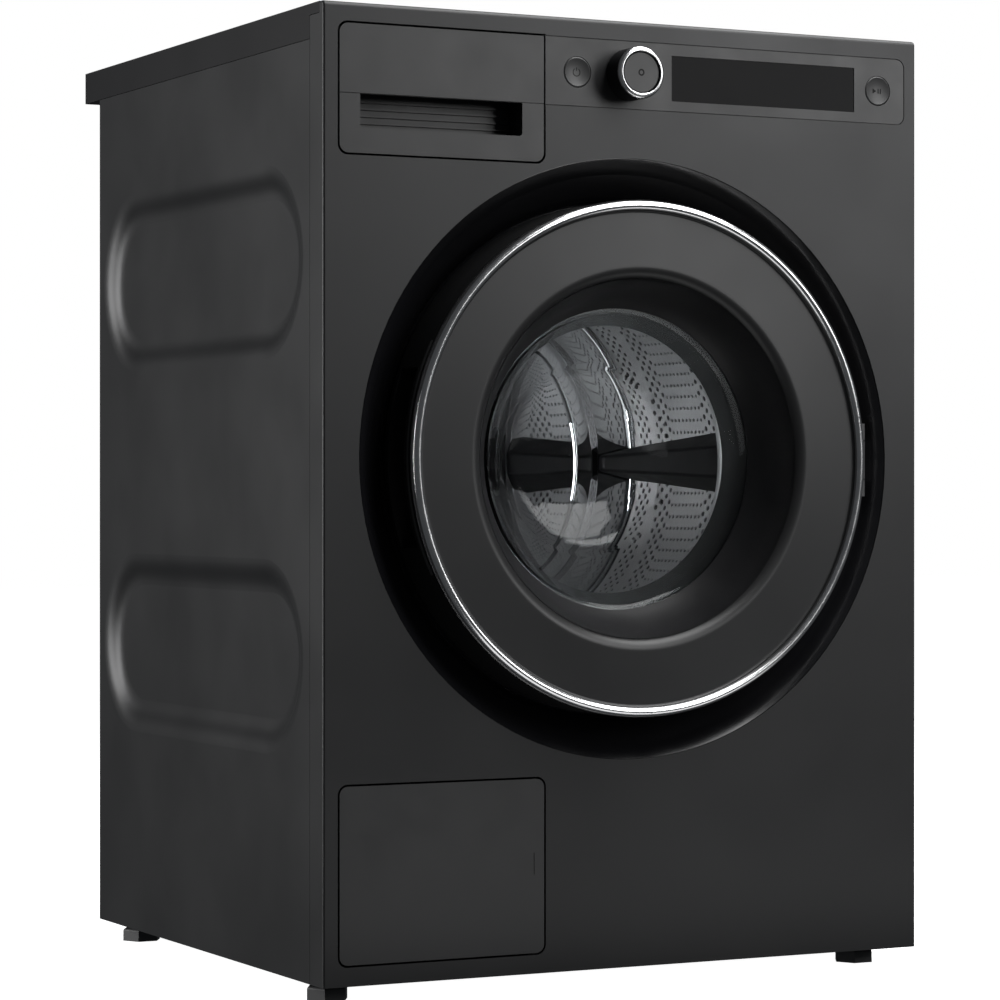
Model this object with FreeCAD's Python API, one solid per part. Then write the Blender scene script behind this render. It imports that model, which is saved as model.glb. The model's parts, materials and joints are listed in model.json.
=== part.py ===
"""Front-loading washing machine: steel cabinet, suspended tub with a round door, belt drive and drain pump.

Row frame in millimetres: +Z up, X to the right, the front faces -Y. The origin is on the floor, in the middle
of the machine's box. Most sizes front to back are depths: the distance behind the cabinet's front face, with
what stands proud of that face at a negative depth.
"""

import FreeCAD
import Part
import math
import os

V = FreeCAD.Vector

# ---- driving dimensions --------------------------------------------------------------------------------
WIDTH = 595.0  # cabinet width
HEIGHT = 850.0  # floor to the top of the worktop
WORKTOP_DEPTH = 580.0  # front face to the worktop's rear edge
CABINET_DEPTH = 537.0  # front face to the rear panel's outer face
DOOR_PROUD = 28.0  # how far the door's bright ring stands in front of the front face
FOOT_HEIGHT = 18.0  # gap under the cabinet
SHEET = 1.2  # steel sheet of the cabinet
AXIS_Z = 465.0  # height of the drum's axis

RECESS_R = 264.0  # round recess in the front panel
DOOR_R = 226.0  # outside of the door
FUNNEL_R = 157.5  # mouth of the funnel that leads to the door glass
GLASS_R = 133.6  # window seen at the funnel's bottom
DRUM_R = 239.0  # outside of the drum
DRUM_MOUTH_R = 150.0
DRUM_FRONT = 98.0
DRUM_BACK = 428.0
TUB_R = 262.0
TUB_FRONT = 84.0
TUB_BACK = 446.0
SHAFT_R = 14.0  # drum's shaft

DRAWER_X = (-282.4, -88.0)  # detergent drawer's front
DRAWER_Z = (722.5, 832.0)
DRAWER_SPLIT_Z = 773.0  # joint between the drawer front's upper panel and its handle part
FASCIA_X = (-86.4, 284.7)  # control fascia
FASCIA_CORNER_R = 8.0
BUTTON_Z = 802.5
POWER_X = -55.0
START_X = 256.5
BUTTON_R = 13.2
KNOB_X = -4.0
KNOB_R = 22.8
KNOB_PROUD = 25.0
SCREEN_X = (40.0, 231.0)
SCREEN_Z = (782.0, 822.0)
FLAP_X = (-282.4, -87.8)  # service flap
FLAP_Z = (36.0, 187.0)

HINGE_X = 232.0  # door hinge's pin
HINGE_DEPTH = -8.0
PUMP_X = -185.0
PUMP_Z = 98.0
MOTOR_X = -110.0
MOTOR_Z = 148.0
BELT_DEPTH = 489.0  # middle of the belt
DRUM_PULLEY_R = 148.0
MOTOR_PULLEY_R = 12.0
LEG_X = 228.0  # suspension legs
LEG_DEPTHS = (192.0, 400.0)
FOOT_X = 268.0  # adjustable feet
FOOT_DEPTHS = {"front": 58.0, "rear": 500.0}

FRONT_Y = -(WORKTOP_DEPTH - DOOR_PROUD) / 2  # puts the origin in the middle, front to back
LEFT, RIGHT = -WIDTH / 2, WIDTH / 2
WORKTOP_Z = 820.5  # underside of the worktop's rim


# ---- shape helpers -------------------------------------------------------------------------------------
def block(x, depth, z):
    """Box from (low, high) pairs, with the middle pair a depth."""
    return Part.makeBox(
        x[1] - x[0], depth[1] - depth[0], z[1] - z[0], V(x[0], FRONT_Y + depth[0], z[0])
    )


def rod(x, depth, z, radius):
    """Cylinder along Y between two depths."""
    return Part.makeCylinder(radius, depth[1] - depth[0], V(x, FRONT_Y + depth[0], z), V(0, 1, 0))


def post(x, depth, z, radius):
    """Cylinder along Z between two heights."""
    return Part.makeCylinder(radius, z[1] - z[0], V(x, FRONT_Y + depth, z[0]))


def bar(x, depth, z, radius):
    """Cylinder along X."""
    return Part.makeCylinder(radius, x[1] - x[0], V(x[0], FRONT_Y + depth, z), V(1, 0, 0))


def at(x, depth, z):
    return V(x, FRONT_Y + depth, z)


def tube(x, depth, z, outer, inner):
    return rod(x, depth, z, outer).cut(rod(x, (depth[0] - 1, depth[1] + 1), z, inner))


def outline(points, place):
    """Closed wire through 2-D points. A point given as ((a, b), "via", (c, d)) is reached by an arc."""
    edges = []
    start = last = points[0]
    for point in points[1:]:
        if len(point) == 3:
            via, end = point[0], point[2]
            edges.append(Part.Arc(place(*last), place(*via), place(*end)).toShape())
        else:
            end = point
            edges.append(Part.LineSegment(place(*last), place(*end)).toShape())
        last = end
    if math.dist(last, start) > 1e-6:
        edges.append(Part.LineSegment(place(*last), place(*start)).toShape())
    return Part.Wire(edges)


def lathe(points, x=0.0, z=AXIS_Z, angle=360.0):
    """Turns a closed outline of (radius, depth) points about the Y line through (x, z)."""
    face = Part.Face(outline(points, lambda r, d: V(r, d, 0)))
    solid = face.revolve(V(0, 0, 0), V(0, 1, 0), angle)
    solid.translate(V(x, FRONT_Y, z))
    return solid


def corner_points(x, z, radii):
    """Rounded rectangle's outline; radii run from the low-x low-z corner round by low-x high-z."""
    corners = [(x[0], z[0]), (x[0], z[1]), (x[1], z[1]), (x[1], z[0])]
    points = []
    for i, (corner, r) in enumerate(zip(corners, radii)):
        before, after = corners[i - 1], corners[(i + 1) % 4]
        into = [(b - c) / math.dist(before, corner) for b, c in zip(before, corner)]
        out = [(a - c) / math.dist(after, corner) for a, c in zip(after, corner)]
        if not r:
            points.append(corner)
            continue
        first = tuple(c + r * u for c, u in zip(corner, into))
        last = tuple(c + r * u for c, u in zip(corner, out))
        middle = tuple(c + r * (1 - math.sqrt(0.5)) * (u + w) for c, u, w in zip(corner, into, out))
        points += [first, (middle, "via", last)]
    return points


def plate(x, depth, z, radii=(0, 0, 0, 0)):
    """Plate facing the front, with rounded corners."""
    wire = outline(corner_points(x, z, radii), lambda a, b: V(a, FRONT_Y + depth[0], b))
    return Part.Face(wire).extrude(V(0, depth[1] - depth[0], 0))


def grown(pair, by):
    return (pair[0] - by, pair[1] + by)


def fuse(shapes):
    first, rest = shapes[0], shapes[1:]
    return first.multiFuse(rest).removeSplitter() if rest else first


def turned(shape, degrees, x=0.0, z=AXIS_Z):
    """A copy turned about the Y line through (x, z)."""
    copy = shape.copy()
    copy.rotate(V(x, 0, z), V(0, 1, 0), degrees)
    return copy


def edges_at(shape, test):
    return [e for e in shape.Edges if test(e.BoundBox)]


# ---- cabinet -------------------------------------------------------------------------------------------
FRONT_RETURN = 28.0  # how far the front panel wraps round the sides
TOP_HEM = 8.0
FRONT_TOP_Z = 840.0  # top of the wrapped sides, under the worktop's skin


def front_panel():
    """Pressed front sheet with a rounded top edge, wrapped sides and openings for door, controls and flap."""
    outer = block((LEFT, RIGHT), (0, FRONT_RETURN), (FOOT_HEIGHT, HEIGHT))
    front = FRONT_Y + 0.01
    outer = outer.makeFillet(4.0, edges_at(outer, lambda b: b.YMax < front and b.ZMin > HEIGHT - 1))
    outer = outer.makeFillet(1.8, edges_at(outer, lambda b: b.YMax < front + 3.9 and b.ZLength > 700))
    inner = block(
        grown((LEFT, RIGHT), -SHEET), (SHEET, FRONT_RETURN + 1), (FOOT_HEIGHT + SHEET, HEIGHT - SHEET)
    )
    inner = inner.makeFillet(
        2.8, edges_at(inner, lambda b: b.YMax < front + SHEET and b.ZMin > HEIGHT - SHEET - 1)
    )
    sheet = outer.cut(inner)
    sheet = sheet.cut(
        block(grown((LEFT, RIGHT), 1), (TOP_HEM, FRONT_RETURN + 1), (FRONT_TOP_Z, HEIGHT + 1))
    )
    through = (-1, SHEET + 1)
    sheet = sheet.cut(rod(0, through, AXIS_Z, RECESS_R + 0.5))
    drawer = plate(grown(DRAWER_X, 1.8), through, grown(DRAWER_Z, 1.8), (9, 9, 0, 9))
    fascia = plate(
        (DRAWER_X[1], FASCIA_X[1] + 0.9), through, (DRAWER_SPLIT_Z - 0.9, DRAWER_Z[1] + 0.9), (0, 0, 9, 9)
    )
    flap = plate(grown(FLAP_X, 1.8), through, grown(FLAP_Z, 1.8), (9, 9, 9, 9))
    return sheet.cut(drawer).cut(fascia).cut(flap)


EMBOSS_DEPTH = 9.0
EMBOSS_R = 85.0
EMBOSS_SLOPE = 30.0  # width of the soft slope round each embossed panel
EMBOSS_ENDS = (42.0 + EMBOSS_R, 524.0 - EMBOSS_R)  # depths of the round ends' centres
EMBOSS_HEIGHTS = (292.5, 636.0)


def emboss_profile(radius):
    """The sheet's soft step inwards, as (radius, inset) points, from a flat outside to a flat floor."""
    half = EMBOSS_SLOPE / 2
    drop = EMBOSS_DEPTH / 2
    bend = (half**2 + drop**2) / (2 * drop)
    mid = math.asin(half / bend) / 2
    lean, sag = bend * math.sin(mid), bend * (1 - math.cos(mid))

    def skin(offset):
        """One face of the sheet: two arcs that meet in the middle of the slope."""
        outer_arc = [(radius, offset), (radius - lean, sag + offset), (radius - half, drop + offset)]
        inner_arc = [
            (radius - EMBOSS_SLOPE + lean, EMBOSS_DEPTH - sag + offset),
            (radius - EMBOSS_SLOPE, EMBOSS_DEPTH + offset),
        ]
        return outer_arc + inner_arc

    top, bottom = skin(0), skin(SHEET)
    return [
        top[0],
        (top[1], "via", top[2]),
        (top[3], "via", top[4]),
        bottom[4],
        (bottom[3], "via", bottom[2]),
        (bottom[1], "via", bottom[0]),
    ]


def side_panel(side):
    """Side sheet with two long embossed panels with round ends; side is -1 for left, 1 for right."""
    outside = side * WIDTH / 2
    y0, y1 = (FRONT_Y + d for d in EMBOSS_ENDS)

    def at(radius, inset, height, y, turn):
        """Point of the profile at an angle round an end's centre; 0 points to the back, 90 up."""
        a = math.radians(turn)
        return V(outside - side * inset, y + radius * math.cos(a), height + radius * math.sin(a))

    flat = block((0, SHEET), (FRONT_RETURN + 0.5, CABINET_DEPTH), (FOOT_HEIGHT, WORKTOP_Z - 0.5))
    flat.translate(V(outside - (SHEET if side > 0 else 0), 0, 0))
    rims, floors = [], []
    for height in EMBOSS_HEIGHTS:
        hole_points = [(y0, -EMBOSS_R), ((y0 - EMBOSS_R, 0), "via", (y0, EMBOSS_R)), (y1, EMBOSS_R)]
        hole_points.append(((y1 + EMBOSS_R, 0), "via", (y1, -EMBOSS_R)))
        hole = Part.Face(outline(hole_points, lambda y, z: V(outside - side * 5, y, height + z)))
        flat = flat.cut(hole.extrude(V(side * 10, 0, 0)))
        for turn, y in ((90, y0), (-90, y0)):
            section = Part.Face(
                outline(emboss_profile(EMBOSS_R), lambda r, i: at(r, i, height, y, turn))
            )
            rims.append(section.extrude(V(0, y1 - y0, 0)))
        for y, turn in ((y0, 90), (y1, -90)):
            section = Part.Face(
                outline(emboss_profile(EMBOSS_R), lambda r, i: at(r, i, height, y, turn))
            )
            rims.append(section.revolve(V(outside, y, height), V(1, 0, 0), 180))
        floor_r = EMBOSS_R - EMBOSS_SLOPE
        floor_points = [(y0, -floor_r), ((y0 - floor_r, 0), "via", (y0, floor_r)), (y1, floor_r)]
        floor_points.append(((y1 + floor_r, 0), "via", (y1, -floor_r)))
        floor = Part.Face(
            outline(floor_points, lambda y, z: V(outside - side * EMBOSS_DEPTH, y, height + z))
        )
        floors.append(floor.extrude(V(-side * SHEET, 0, 0)))
    return fuse([flat, *rims, *floors])


def worktop():
    """Top board: a skin over the whole cabinet and a rim round the sides and back, hollow underneath."""
    skin = block((LEFT, RIGHT), (TOP_HEM + 0.3, WORKTOP_DEPTH), (FRONT_TOP_Z + 0.5, HEIGHT))
    rim = block((LEFT, RIGHT), (FRONT_RETURN + 0.5, WORKTOP_DEPTH), (WORKTOP_Z, FRONT_TOP_Z + 1))
    hollow = block((LEFT + 14, RIGHT - 14), (FRONT_RETURN + 16, WORKTOP_DEPTH - 14), (800, FRONT_TOP_Z))
    board = skin.fuse(rim).cut(hollow).removeSplitter()
    rear_corners = edges_at(
        board, lambda b: b.YMin > FRONT_Y + WORKTOP_DEPTH - 0.1 and b.ZLength > 20 and b.XLength < 0.1
    )
    return board.makeFillet(3.0, rear_corners)


REAR_HOLE_R = 180.0  # access hole behind the pulley


def rear_panel():
    """Back sheet with an access hole, a step for stiffness and holes for the valve, drain and mains lead."""
    inner = (CABINET_DEPTH - SHEET, CABINET_DEPTH)
    sheet = block(grown((LEFT, RIGHT), -SHEET - 0.2), inner, (FOOT_HEIGHT + 2, WORKTOP_Z - 0.5))
    through = (CABINET_DEPTH - 3, CABINET_DEPTH + 3)
    for x, z, radius in (
        (0, AXIS_Z, REAR_HOLE_R),
        (VALVE_X, VALVE_Z, 15.0),
        (DRAIN_X, DRAIN_Z, 12.5),
        (MAINS_X, MAINS_Z, 9.0),
    ):
        sheet = sheet.cut(rod(x, through, z, radius))
    return sheet


VALVE_X, VALVE_Z = 225.0, 770.0
DRAIN_X, DRAIN_Z = -235.0, 745.0
MAINS_X, MAINS_Z = -235.0, 790.0


def rear_cover():
    """Round dished cover over the access hole."""
    return lathe(
        [
            (0, CABINET_DEPTH + 11),
            (REAR_HOLE_R - 22, CABINET_DEPTH + 11),
            (REAR_HOLE_R - 8, CABINET_DEPTH),
            (REAR_HOLE_R + 14, CABINET_DEPTH),
            (REAR_HOLE_R + 14, CABINET_DEPTH + SHEET),
            (REAR_HOLE_R - 7.4, CABINET_DEPTH + SHEET),
            (REAR_HOLE_R - 21.4, CABINET_DEPTH + 11 + SHEET),
            (0, CABINET_DEPTH + 11 + SHEET),
        ]
    )


def rear_cover_screws():
    heads = []
    for i in range(8):
        a = math.radians(22.5 + 45 * i)
        x, z = (REAR_HOLE_R + 7) * math.cos(a), AXIS_Z + (REAR_HOLE_R + 7) * math.sin(a)
        heads.append(rod(x, (CABINET_DEPTH + SHEET, CABINET_DEPTH + SHEET + 3), z, 4.5))
    return Part.makeCompound(heads)


BASE_TOP = 23.0
FOOT_STEM_R = 5.0


def base_plate():
    """Base tray with a raised rim and threaded bosses for the feet."""
    inside = grown((LEFT, RIGHT), -SHEET - 0.3)
    depths = (SHEET + 0.3, CABINET_DEPTH - SHEET - 0.3)
    low = FOOT_HEIGHT + SHEET + 0.3
    tray = block(inside, depths, (low, 34))
    tray = tray.cut(block(grown(inside, -2.5), grown(depths, -2.5), (BASE_TOP, 40)))
    tray = tray.cut(block(grown(FLAP_X, 8.5), (0, 10), (BASE_TOP + 4.5, 40)))
    feet = [(side * FOOT_X, depth) for side in (-1, 1) for depth in FOOT_DEPTHS.values()]
    for x, depth in feet:
        tray = tray.fuse(post(x, depth, (low, 44), 13.0))
    for x, depth in feet:
        tray = tray.cut(post(x, depth, (0, 60), FOOT_STEM_R + 0.05))
    return tray.removeSplitter()


def foot(side, depth):
    """Hexagonal foot on a threaded stem."""
    x, y = side * FOOT_X, FRONT_Y + depth
    turns = [math.radians(60 * i) for i in range(7)]
    hexagon = Part.makePolygon([V(x + 19 * math.cos(t), y + 19 * math.sin(t), 0) for t in turns])
    pad = Part.Face(hexagon).extrude(V(0, 0, 12))
    pad = pad.makeFillet(2.5, edges_at(pad, lambda b: b.ZMin > 11.9))
    return pad.fuse(post(x, depth, (10, 42), FOOT_STEM_R)).removeSplitter()


# ---- recess round the door -----------------------------------------------------------------------------
DISH_FLOOR = 38.0  # depth of the flat ring behind the door
DISH_OPENING_R = 168.0
DISH_GAP = 3.0  # between the door's side and the recess
LATCH_X = -190.0
LOCK_FRONT = 40.8
KNUCKLE_R = 4.5
HINGE_PIN_R = 2.5


def door_recess():
    """Dished ring that lines the round opening in the front panel."""
    narrow = DOOR_R + DISH_GAP
    dish = lathe(
        [
            (RECESS_R, 0.6),
            ((RECESS_R - 5.0, 4.2), "via", (RECESS_R - 13.0, 12.5)),
            ((narrow + 10.5, 23.5), "via", (narrow, DISH_FLOOR - 3)),
            ((narrow - 0.9, DISH_FLOOR - 0.9), "via", (narrow - 3, DISH_FLOOR)),
            (DISH_OPENING_R, DISH_FLOOR),
            (DISH_OPENING_R, DISH_FLOOR + 2.5),
            (narrow - 2, DISH_FLOOR + 2.5),
            ((narrow + 1.6, DISH_FLOOR + 0.6), "via", (narrow + 3.4, DISH_FLOOR - 2)),
            ((narrow + 14, 26.0), "via", (RECESS_R - 9.6, 14.4)),
            (RECESS_R - 2.5, 7.5),
            (RECESS_R + 5, 5.5),
            (RECESS_R + 5, SHEET + 0.3),
            (RECESS_R, SHEET + 0.3),
        ]
    )
    arm_slot = block((HINGE_X - 6, HINGE_X + 10), (16, 60), (AXIS_Z - 20, AXIS_Z + 20))
    hook_slot = block((LATCH_X - 15, LATCH_X + 6), (30, 50), (AXIS_Z - 7, AXIS_Z + 7))
    return dish.cut(arm_slot).cut(hook_slot)


# ---- control fascia ------------------------------------------------------------------------------------
FASCIA_THICK = 3.0
BUTTON_STEM_R = 4.0
KNOB_SHAFT_R = 8.6
KNOB_BORE_R = 6.2


def control_fascia():
    """Moulded control strip with cups that guide the buttons, a collar for the knob and a screen window."""
    radii = (0, 0, FASCIA_CORNER_R, FASCIA_CORNER_R)
    strip = plate(FASCIA_X, (0, FASCIA_THICK), (DRAWER_SPLIT_Z, DRAWER_Z[1]), radii)
    behind = (SHEET + 0.3, FASCIA_THICK)
    tabs = plate((FASCIA_X[0], FASCIA_X[1] + 6), behind, (DRAWER_SPLIT_Z - 7, DRAWER_Z[1] + 7))
    cups = [rod(x, (FASCIA_THICK - 1, 13), BUTTON_Z, BUTTON_R + 3) for x in (POWER_X, START_X)]
    collar = rod(KNOB_X, (FASCIA_THICK - 1, 16), BUTTON_Z, KNOB_SHAFT_R + 3.4)
    strip = fuse([strip, tabs, *cups, collar])
    for x in (POWER_X, START_X):
        strip = strip.cut(rod(x, (-1, 9.5), BUTTON_Z, BUTTON_R + 0.5))
        strip = strip.cut(rod(x, (9, 14), BUTTON_Z, BUTTON_STEM_R + 0.1))
    strip = strip.cut(rod(KNOB_X, (-1, 17), BUTTON_Z, KNOB_SHAFT_R + 0.05))
    return strip.cut(plate(grown(SCREEN_X, 0.2), (-1, 10), grown(SCREEN_Z, 0.2)))


def screen():
    """Dark window over the display, just below the fascia's face, with a flange behind it."""
    glass = plate(SCREEN_X, (0.7, FASCIA_THICK + 0.2), SCREEN_Z)
    return glass.fuse(plate(grown(SCREEN_X, 4), (FASCIA_THICK + 0.2, 5), grown(SCREEN_Z, 4))).removeSplitter()


def push_button(x):
    """Round button with a hollowed face and a guide stem."""
    return lathe(
        [
            (0, 1.6),
            ((BUTTON_R * 0.55, 1.0), "via", (BUTTON_R - 1.0, -0.3)),
            (BUTTON_R, 0.3),
            (BUTTON_R, 6.0),
            (BUTTON_STEM_R, 6.0),
            (BUTTON_STEM_R, 15.0),
            (0, 15.0),
        ],
        x,
        BUTTON_Z,
    )


def knob_sleeve():
    """Dark knob body on a hollow shaft."""
    seat = -KNOB_PROUD + 3.4
    return lathe(
        [
            (18.9, seat),
            (KNOB_R - 0.8, seat),
            (KNOB_R, seat + 1.6),
            (KNOB_R, -1.6),
            (KNOB_R - 1, -0.8),
            (KNOB_SHAFT_R, -0.8),
            (KNOB_SHAFT_R, 20.0),
            (KNOB_BORE_R, 20.0),
            (KNOB_BORE_R, -4.0),
            (18.9, -4.0),
        ],
        KNOB_X,
        BUTTON_Z,
    )


def knob_ring():
    """Bright bevelled ring on the knob's rim."""
    rim = -KNOB_PROUD
    return lathe(
        [
            (18.6, rim + 3.4),
            (18.6, rim + 0.4),
            ((19.4, rim), "via", (20.2, rim + 0.3)),
            ((22.2, rim + 1.3), "via", (KNOB_R, rim + 3.4)),
        ],
        KNOB_X,
        BUTTON_Z,
    )


def knob_cap():
    """Press-in centre of the knob, on its own stem inside the knob's shaft."""
    return lathe(
        [
            (0, -KNOB_PROUD + 1.6),
            (16.6, -KNOB_PROUD + 1.6),
            ((17.4, -KNOB_PROUD + 1.8), "via", (17.8, -KNOB_PROUD + 2.6)),
            (17.8, -KNOB_PROUD + 8),
            (5.6, -KNOB_PROUD + 8),
            (5.6, 23.0),
            (0, 23.0),
        ],
        KNOB_X,
        BUTTON_Z,
    )


# ---- detergent drawer ----------------------------------------------------------------------------------
SLOT_X = (-263.4, -109.0)
SLOT_Z = (744.0, DRAWER_SPLIT_Z)
SLOT_DEPTH = 27.0
TRAY_X = (-276.0, -95.0)
TRAY_Z = (749.0, 812.0)
TRAY_DEPTH = (31.0, 235.0)


def drawer_front():
    """Drawer's face with a joint line above the finger slot, and the box behind the slot."""
    face = plate(DRAWER_X, (0, 3), DRAWER_Z, (8, 8, 0, 8))
    joint = block(grown(DRAWER_X, 1), (-1, 1.2), (DRAWER_SPLIT_Z - 0.4, DRAWER_SPLIT_Z + 0.4))
    pocket = block(grown(SLOT_X, 2.5), (3, TRAY_DEPTH[0]), (SLOT_Z[0] - 2.5, 800))
    pocket = pocket.cut(block(SLOT_X, (-1, SLOT_DEPTH), (SLOT_Z[0], 797.5)))
    lip = block(SLOT_X, (2, 6), (DRAWER_SPLIT_Z, 781))
    ribs = [block(SLOT_X, (SLOT_DEPTH - 2, SLOT_DEPTH + 1), (z, z + 1.6)) for z in (750, 756, 762, 768)]
    front = face.cut(joint).cut(plate(SLOT_X, (-1, 5), SLOT_Z, (3, 0, 0, 3)))
    return fuse([front, pocket, lip, *ribs])


def drawer_tray():
    """Pull-out tray with three compartments."""
    tray = block(TRAY_X, TRAY_DEPTH, TRAY_Z)
    inside_z = (TRAY_Z[0] + 2.5, TRAY_Z[1] + 1)
    rooms = [
        ((TRAY_X[0] + 2.5, TRAY_X[0] + 88), (TRAY_DEPTH[0] + 2.5, TRAY_DEPTH[1] - 2.5)),
        ((TRAY_X[0] + 90.5, TRAY_X[1] - 2.5), (TRAY_DEPTH[0] + 2.5, TRAY_DEPTH[0] + 100)),
        ((TRAY_X[0] + 90.5, TRAY_X[1] - 2.5), (TRAY_DEPTH[0] + 102.5, TRAY_DEPTH[1] - 2.5)),
    ]
    for x, depth in rooms:
        tray = tray.cut(block(x, depth, inside_z))
    return tray.removeSplitter()


def dispenser_housing():
    """Box in the cabinet that the drawer slides in, open at the front."""
    outer = block(grown(TRAY_X, 4.0), (33, 250), (TRAY_Z[0] - 4, TRAY_Z[1] + 6))
    return outer.cut(block(grown(TRAY_X, 1.5), (20, 248), (TRAY_Z[0] - 1.5, TRAY_Z[1] + 4)))


# ---- service flap and drain pump -----------------------------------------------------------------------
FLAP_PIN_X = FLAP_X[0] + 12.0
FLAP_PIN_DEPTH = 4.6
FLAP_PIN_R = 1.5
FLAP_PIN_Z = (62, 161)
FLAP_FRAME_BACK = 22.0


def service_flap():
    """Flush flap with two hinge knuckles on its left edge and a finger notch on its right edge."""
    panel = plate(FLAP_X, (0, 3), FLAP_Z, (7.5, 7.5, 7.5, 7.5))
    panel = panel.cut(block((FLAP_X[1] - 10.6, FLAP_X[1] - 9.4), (-1, 0.5), (104, 123)))
    for z in FLAP_PIN_Z:
        knuckle = post(FLAP_PIN_X, FLAP_PIN_DEPTH, (z - 8, z + 8), 3.2)
        panel = panel.fuse(knuckle.cut(block((FLAP_X[0] - 9, FLAP_X[1]), (-5, 0), (z - 9, z + 9))))
    for z in FLAP_PIN_Z:
        panel = panel.cut(post(FLAP_PIN_X, FLAP_PIN_DEPTH, (z - 9, z + 9), FLAP_PIN_R + 0.06))
        for low in (z - 13.2, z + 8):
            room = block((FLAP_X[0] - 1, FLAP_PIN_X + 3.6), (1.2, 8), (low, low + 5.2))
            panel = panel.cut(room)
    catch = block((FLAP_X[1] - 8, FLAP_X[1] - 5), (2.5, 10), (106, 120))
    return panel.fuse(catch).removeSplitter()


def flap_frame():
    """Moulded frame behind the flap, with lugs and short pins that the flap's knuckles turn on."""
    frame = block(grown(FLAP_X, 8), (SHEET + 0.3, FLAP_FRAME_BACK), grown(FLAP_Z, 8))
    frame = frame.cut(block(grown(FLAP_X, 2.6), (0, FLAP_FRAME_BACK + 1), grown(FLAP_Z, 2.6)))
    for pin_z in FLAP_PIN_Z:
        for low in (pin_z - 12.5, pin_z + 8.5):
            height = (low, low + 4)
            arm = block((FLAP_X[0] - 4, FLAP_PIN_X + 2.4), (FLAP_FRAME_BACK - 4, FLAP_FRAME_BACK), height)
            lug = block(grown((FLAP_PIN_X, FLAP_PIN_X), 2.4), (FLAP_PIN_DEPTH, FLAP_FRAME_BACK), height)
            frame = frame.fuse(arm).fuse(lug)
            frame = frame.fuse(post(FLAP_PIN_X, FLAP_PIN_DEPTH, height, 2.4))
        frame = frame.fuse(post(FLAP_PIN_X, FLAP_PIN_DEPTH, (pin_z - 12.5, pin_z + 12.5), FLAP_PIN_R))
    return frame.removeSplitter()


SUMP_X, SUMP_DEPTH = -60.0, 104.0
OUTLET_Z = 156.0
PUMP_SHAFT_R = 3.0


def pump_housing():
    """Drain pump: filter bore to the front, impeller room, motor behind, inlet and outlet stubs."""
    x, z = PUMP_X, PUMP_Z
    body = rod(x, (26, 116), z, 37).fuse(rod(x, (116, 158), z, 30))
    mount = block((x - 30, x + 30), (30, 112), (BASE_TOP, z))
    inlet = bar((x, SUMP_X), SUMP_DEPTH, z, 16).fuse(post(SUMP_X, SUMP_DEPTH, (z, 132), 16))
    elbow = Part.makeSphere(16, at(SUMP_X, SUMP_DEPTH, z))
    outlet = post(x, 92, (z, OUTLET_Z), 12)
    shape = fuse([body, mount, inlet, elbow, outlet])
    shape = shape.cut(rod(x, (20, 84), z, 30)).cut(rod(x, (80, 112), z, 24))
    shape = shape.cut(bar((x, SUMP_X), SUMP_DEPTH, z, 12.5))
    shape = shape.cut(Part.makeSphere(12.5, at(SUMP_X, SUMP_DEPTH, z)))
    shape = shape.cut(post(SUMP_X, SUMP_DEPTH, (z, 140), 12.5))
    shape = shape.cut(post(x, 92, (z, OUTLET_Z + 4), 9))
    return shape.cut(rod(x, (110, 148), z, PUMP_SHAFT_R + 0.1)).removeSplitter()


def filter_cap():
    """Screw-in filter: a cap with a grip bar and a basket that reaches into the pump."""
    cap = rod(PUMP_X, (18, 25.6), PUMP_Z, 34).fuse(rod(PUMP_X, (25, 78), PUMP_Z, 29.4))
    cap = cap.cut(rod(PUMP_X, (30, 80), PUMP_Z, 26.5))
    for turn in (0, 90):
        window = block((PUMP_X - 40, PUMP_X + 40), (46, 74), (PUMP_Z - 9, PUMP_Z + 9))
        slot = turned(window, turn, PUMP_X, PUMP_Z)
        cap = cap.cut(slot)
    grip = block((PUMP_X - 25, PUMP_X + 25), (9, 19), (PUMP_Z - 4.5, PUMP_Z + 4.5))
    return cap.fuse(grip).removeSplitter()


def pump_impeller():
    """Four-blade impeller on the pump motor's shaft."""
    hub = rod(PUMP_X, (88, 106), PUMP_Z, 6).fuse(rod(PUMP_X, (104, 146), PUMP_Z, PUMP_SHAFT_R))
    blades = [
        turned(block((PUMP_X, PUMP_X + 20), (88, 104), (PUMP_Z - 1, PUMP_Z + 1)), 90 * i, PUMP_X, PUMP_Z)
        for i in range(4)
    ]
    return fuse([hub, *blades])


def sump_hose():
    """Ribbed rubber hose between the floating tub and the pump."""
    low, high, ribs = 118.0, 192.0, 6
    pitch = (high - low) / ribs
    points = [(16.4, low), (16.4, high), (18.4, high)]
    for i in range(ribs):
        top = high - i * pitch
        points.append(((22.0, top - pitch / 2), "via", (18.4, top - pitch)))
    face = Part.Face(outline(points, lambda r, h: V(r, 0, h)))
    hose = face.revolve(V(0, 0, 0), V(0, 0, 1), 360)
    hose.translate(V(SUMP_X, FRONT_Y + SUMP_DEPTH, 0))
    return hose


# ---- tub -----------------------------------------------------------------------------------------------
TUB_WALL = 3.5
TUB_MOUTH_R = 160.0
LEG_TOP = 270.0  # underside of the lugs that the legs bolt to


def round_back(solid, radius):
    """Rounds the rear rim of a cylinder that runs along Y."""
    rear = solid.BoundBox.YMax - 0.1
    return solid.makeFillet(radius, edges_at(solid, lambda b: b.YMin > rear and b.XLength > 100))


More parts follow.
